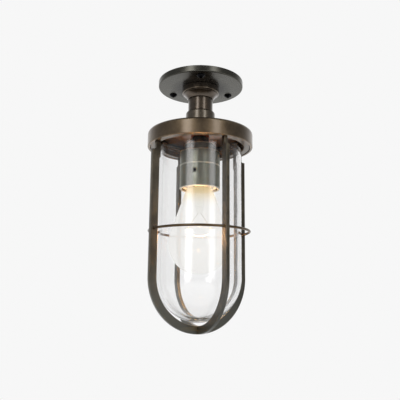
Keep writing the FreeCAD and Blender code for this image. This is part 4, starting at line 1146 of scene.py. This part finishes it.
# %% Backdrop, floor light, dim front, windows and walls
FRONT_LEVEL = 0.21
BACK_LEVEL = 0.95
FLOOR_LIGHT = 1.0
LEFT_WINDOW = (-28, 9, 5, 3.4)  # centre, half width and feather in degrees, then its level
RIGHT_WINDOW = (35, 8, 5, 2.8)
LEFT_WALL = (-78, 28, 18, 0.12)
RIGHT_WALL = (78, 28, 18, 0.036)
behind = add_node(tree, "ShaderNodeMapRange", SMOOTH, {
    "Value": parts.outputs[1], "From Min": 0.1, "From Max": 1.0,
    "To Min": FRONT_LEVEL, "To Max": BACK_LEVEL})
below = add_node(tree, "ShaderNodeMapRange", SMOOTH, {
    "Value": parts.outputs[2], "From Min": 0.0, "From Max": -0.5,
    "To Min": FRONT_LEVEL, "To Max": FLOOR_LIGHT})
room = add_node(tree, "ShaderNodeMath", {"operation": "MAXIMUM"}, {
    0: behind.outputs[0], 1: below.outputs[0]})
windows = add_node(tree, "ShaderNodeMath", {"operation": "ADD"}, {
    0: window(*LEFT_WINDOW), 1: window(*RIGHT_WINDOW)})
walls = add_node(tree, "ShaderNodeMath", {"operation": "ADD"}, {
    0: window(*LEFT_WALL), 1: window(*RIGHT_WALL)})
upright = add_node(tree, "ShaderNodeMath", {"operation": "ADD"}, {
    0: windows.outputs[0], 1: walls.outputs[0]})
level = add_node(tree, "ShaderNodeMath", {"operation": "ADD"}, {
    0: room.outputs[0], 1: upright.outputs[0]})

# %% What the camera sees behind the lantern is the plain backdrop
around = add_node(tree, "ShaderNodeBackground", inputs={
    "Color": linear(BACKDROP), "Strength": level.outputs[0]})
seen = add_node(tree, "ShaderNodeBackground", inputs={"Color": linear(BACKDROP), "Strength": 1.0})
rays = add_node(tree, "ShaderNodeLightPath")
unreflected = add_node(tree, "ShaderNodeMath", {"operation": "LESS_THAN"}, {
    0: rays.outputs["Glossy Depth"], 1: 0.5})
through = add_node(tree, "ShaderNodeMath", {"operation": "MULTIPLY"}, {
    0: rays.outputs["Is Transmission Ray"], 1: unreflected.outputs[0]})
straight = add_node(tree, "ShaderNodeMath", {"operation": "MAXIMUM"}, {
    0: rays.outputs["Is Camera Ray"], 1: through.outputs[0]})
mixed = add_node(tree, "ShaderNodeMixShader", inputs={
    0: straight.outputs[0], 1: around.outputs[0], 2: seen.outputs[0]})
tree.links.new(mixed.outputs[0], output.inputs["Surface"])
print("studio nodes:", len(tree.nodes))

# %% [markdown]
# ## Floor
# The lantern hangs, so the floor is well below it. It is pale and matt, takes the lantern's faint
# shadow, and thins out to nothing at its edge, so that no line shows against the backdrop.

# %% Pale floor that fades out
FLOOR_LEVEL = -1.2  # m
FLOOR_RADIUS = 2.6  # m
FADE_START = 0.5    # m from the middle
FLOOR_SIDES = 64
floor_finish, tree, shader, output = new_finish("pale_floor")
shader.inputs["Base Color"].default_value = linear("#f2f2f1")
shader.inputs["Roughness"].default_value = 0.9
place = add_node(tree, "ShaderNodeTexCoord").outputs["Object"]
reach = add_node(tree, "ShaderNodeVectorMath", {"operation": "LENGTH"}, {0: place})
fade = add_node(tree, "ShaderNodeMapRange", SMOOTH, {
    "Value": reach.outputs["Value"], "From Min": FADE_START, "From Max": FLOOR_RADIUS})
nothing = add_node(tree, "ShaderNodeBsdfTransparent")
mixed = add_node(tree, "ShaderNodeMixShader", inputs={
    0: fade.outputs[0], 1: shader.outputs[0], 2: nothing.outputs[0]})
tree.links.new(mixed.outputs[0], output.inputs["Surface"])
floor_mesh = bpy.data.meshes.new("floor")
turns = [2 * math.pi * k / FLOOR_SIDES for k in range(FLOOR_SIDES)]
ring = [(FLOOR_RADIUS * math.cos(turn), FLOOR_RADIUS * math.sin(turn), 0) for turn in turns]
floor_mesh.from_pydata(ring, [], [list(range(FLOOR_SIDES))])
floor_mesh.materials.append(floor_finish)
floor = add_object("floor", floor_mesh)
floor.location = (0, 0, FLOOR_LEVEL)
print("floor", -FLOOR_LEVEL, "m below the ceiling")

# %% [markdown]
# ## Camera
# The camera stands in front, level with the lower part of the glass, and looks up by about eleven
# degrees. Its place was worked out from the ellipses of the plate, the cap and the ring.

# %% Camera at the photograph's angle
CAMERA_PLACE = Vector((0.0, -0.499, -0.218))
PITCH = math.radians(10.859)
YAW = math.radians(0.053)
ROLL_ANGLE = math.radians(0.585)
SENSOR = 36.0  # mm
LENS = 46.41   # mm
forward = Vector((math.sin(YAW) * math.cos(PITCH), math.cos(YAW) * math.cos(PITCH), math.sin(PITCH)))
level = Vector((math.cos(YAW), -math.sin(YAW), 0.0))
upward = level.cross(forward)
right = level * math.cos(ROLL_ANGLE) + upward * math.sin(ROLL_ANGLE)
above = upward * math.cos(ROLL_ANGLE) - level * math.sin(ROLL_ANGLE)
camera_data = bpy.data.cameras.new("camera")
camera_data.sensor_width = SENSOR
camera_data.lens = LENS
camera_data.clip_start = 0.01
camera = add_object("camera", camera_data)
camera.matrix_world = Matrix.Translation(CAMERA_PLACE) @ Matrix(
    (right, above, -forward)).transposed().to_4x4()
bpy.context.scene.camera = camera
bpy.context.scene.view_settings.view_transform = "Standard"
print("camera looks up by", round(math.degrees(PITCH), 1), "degrees")
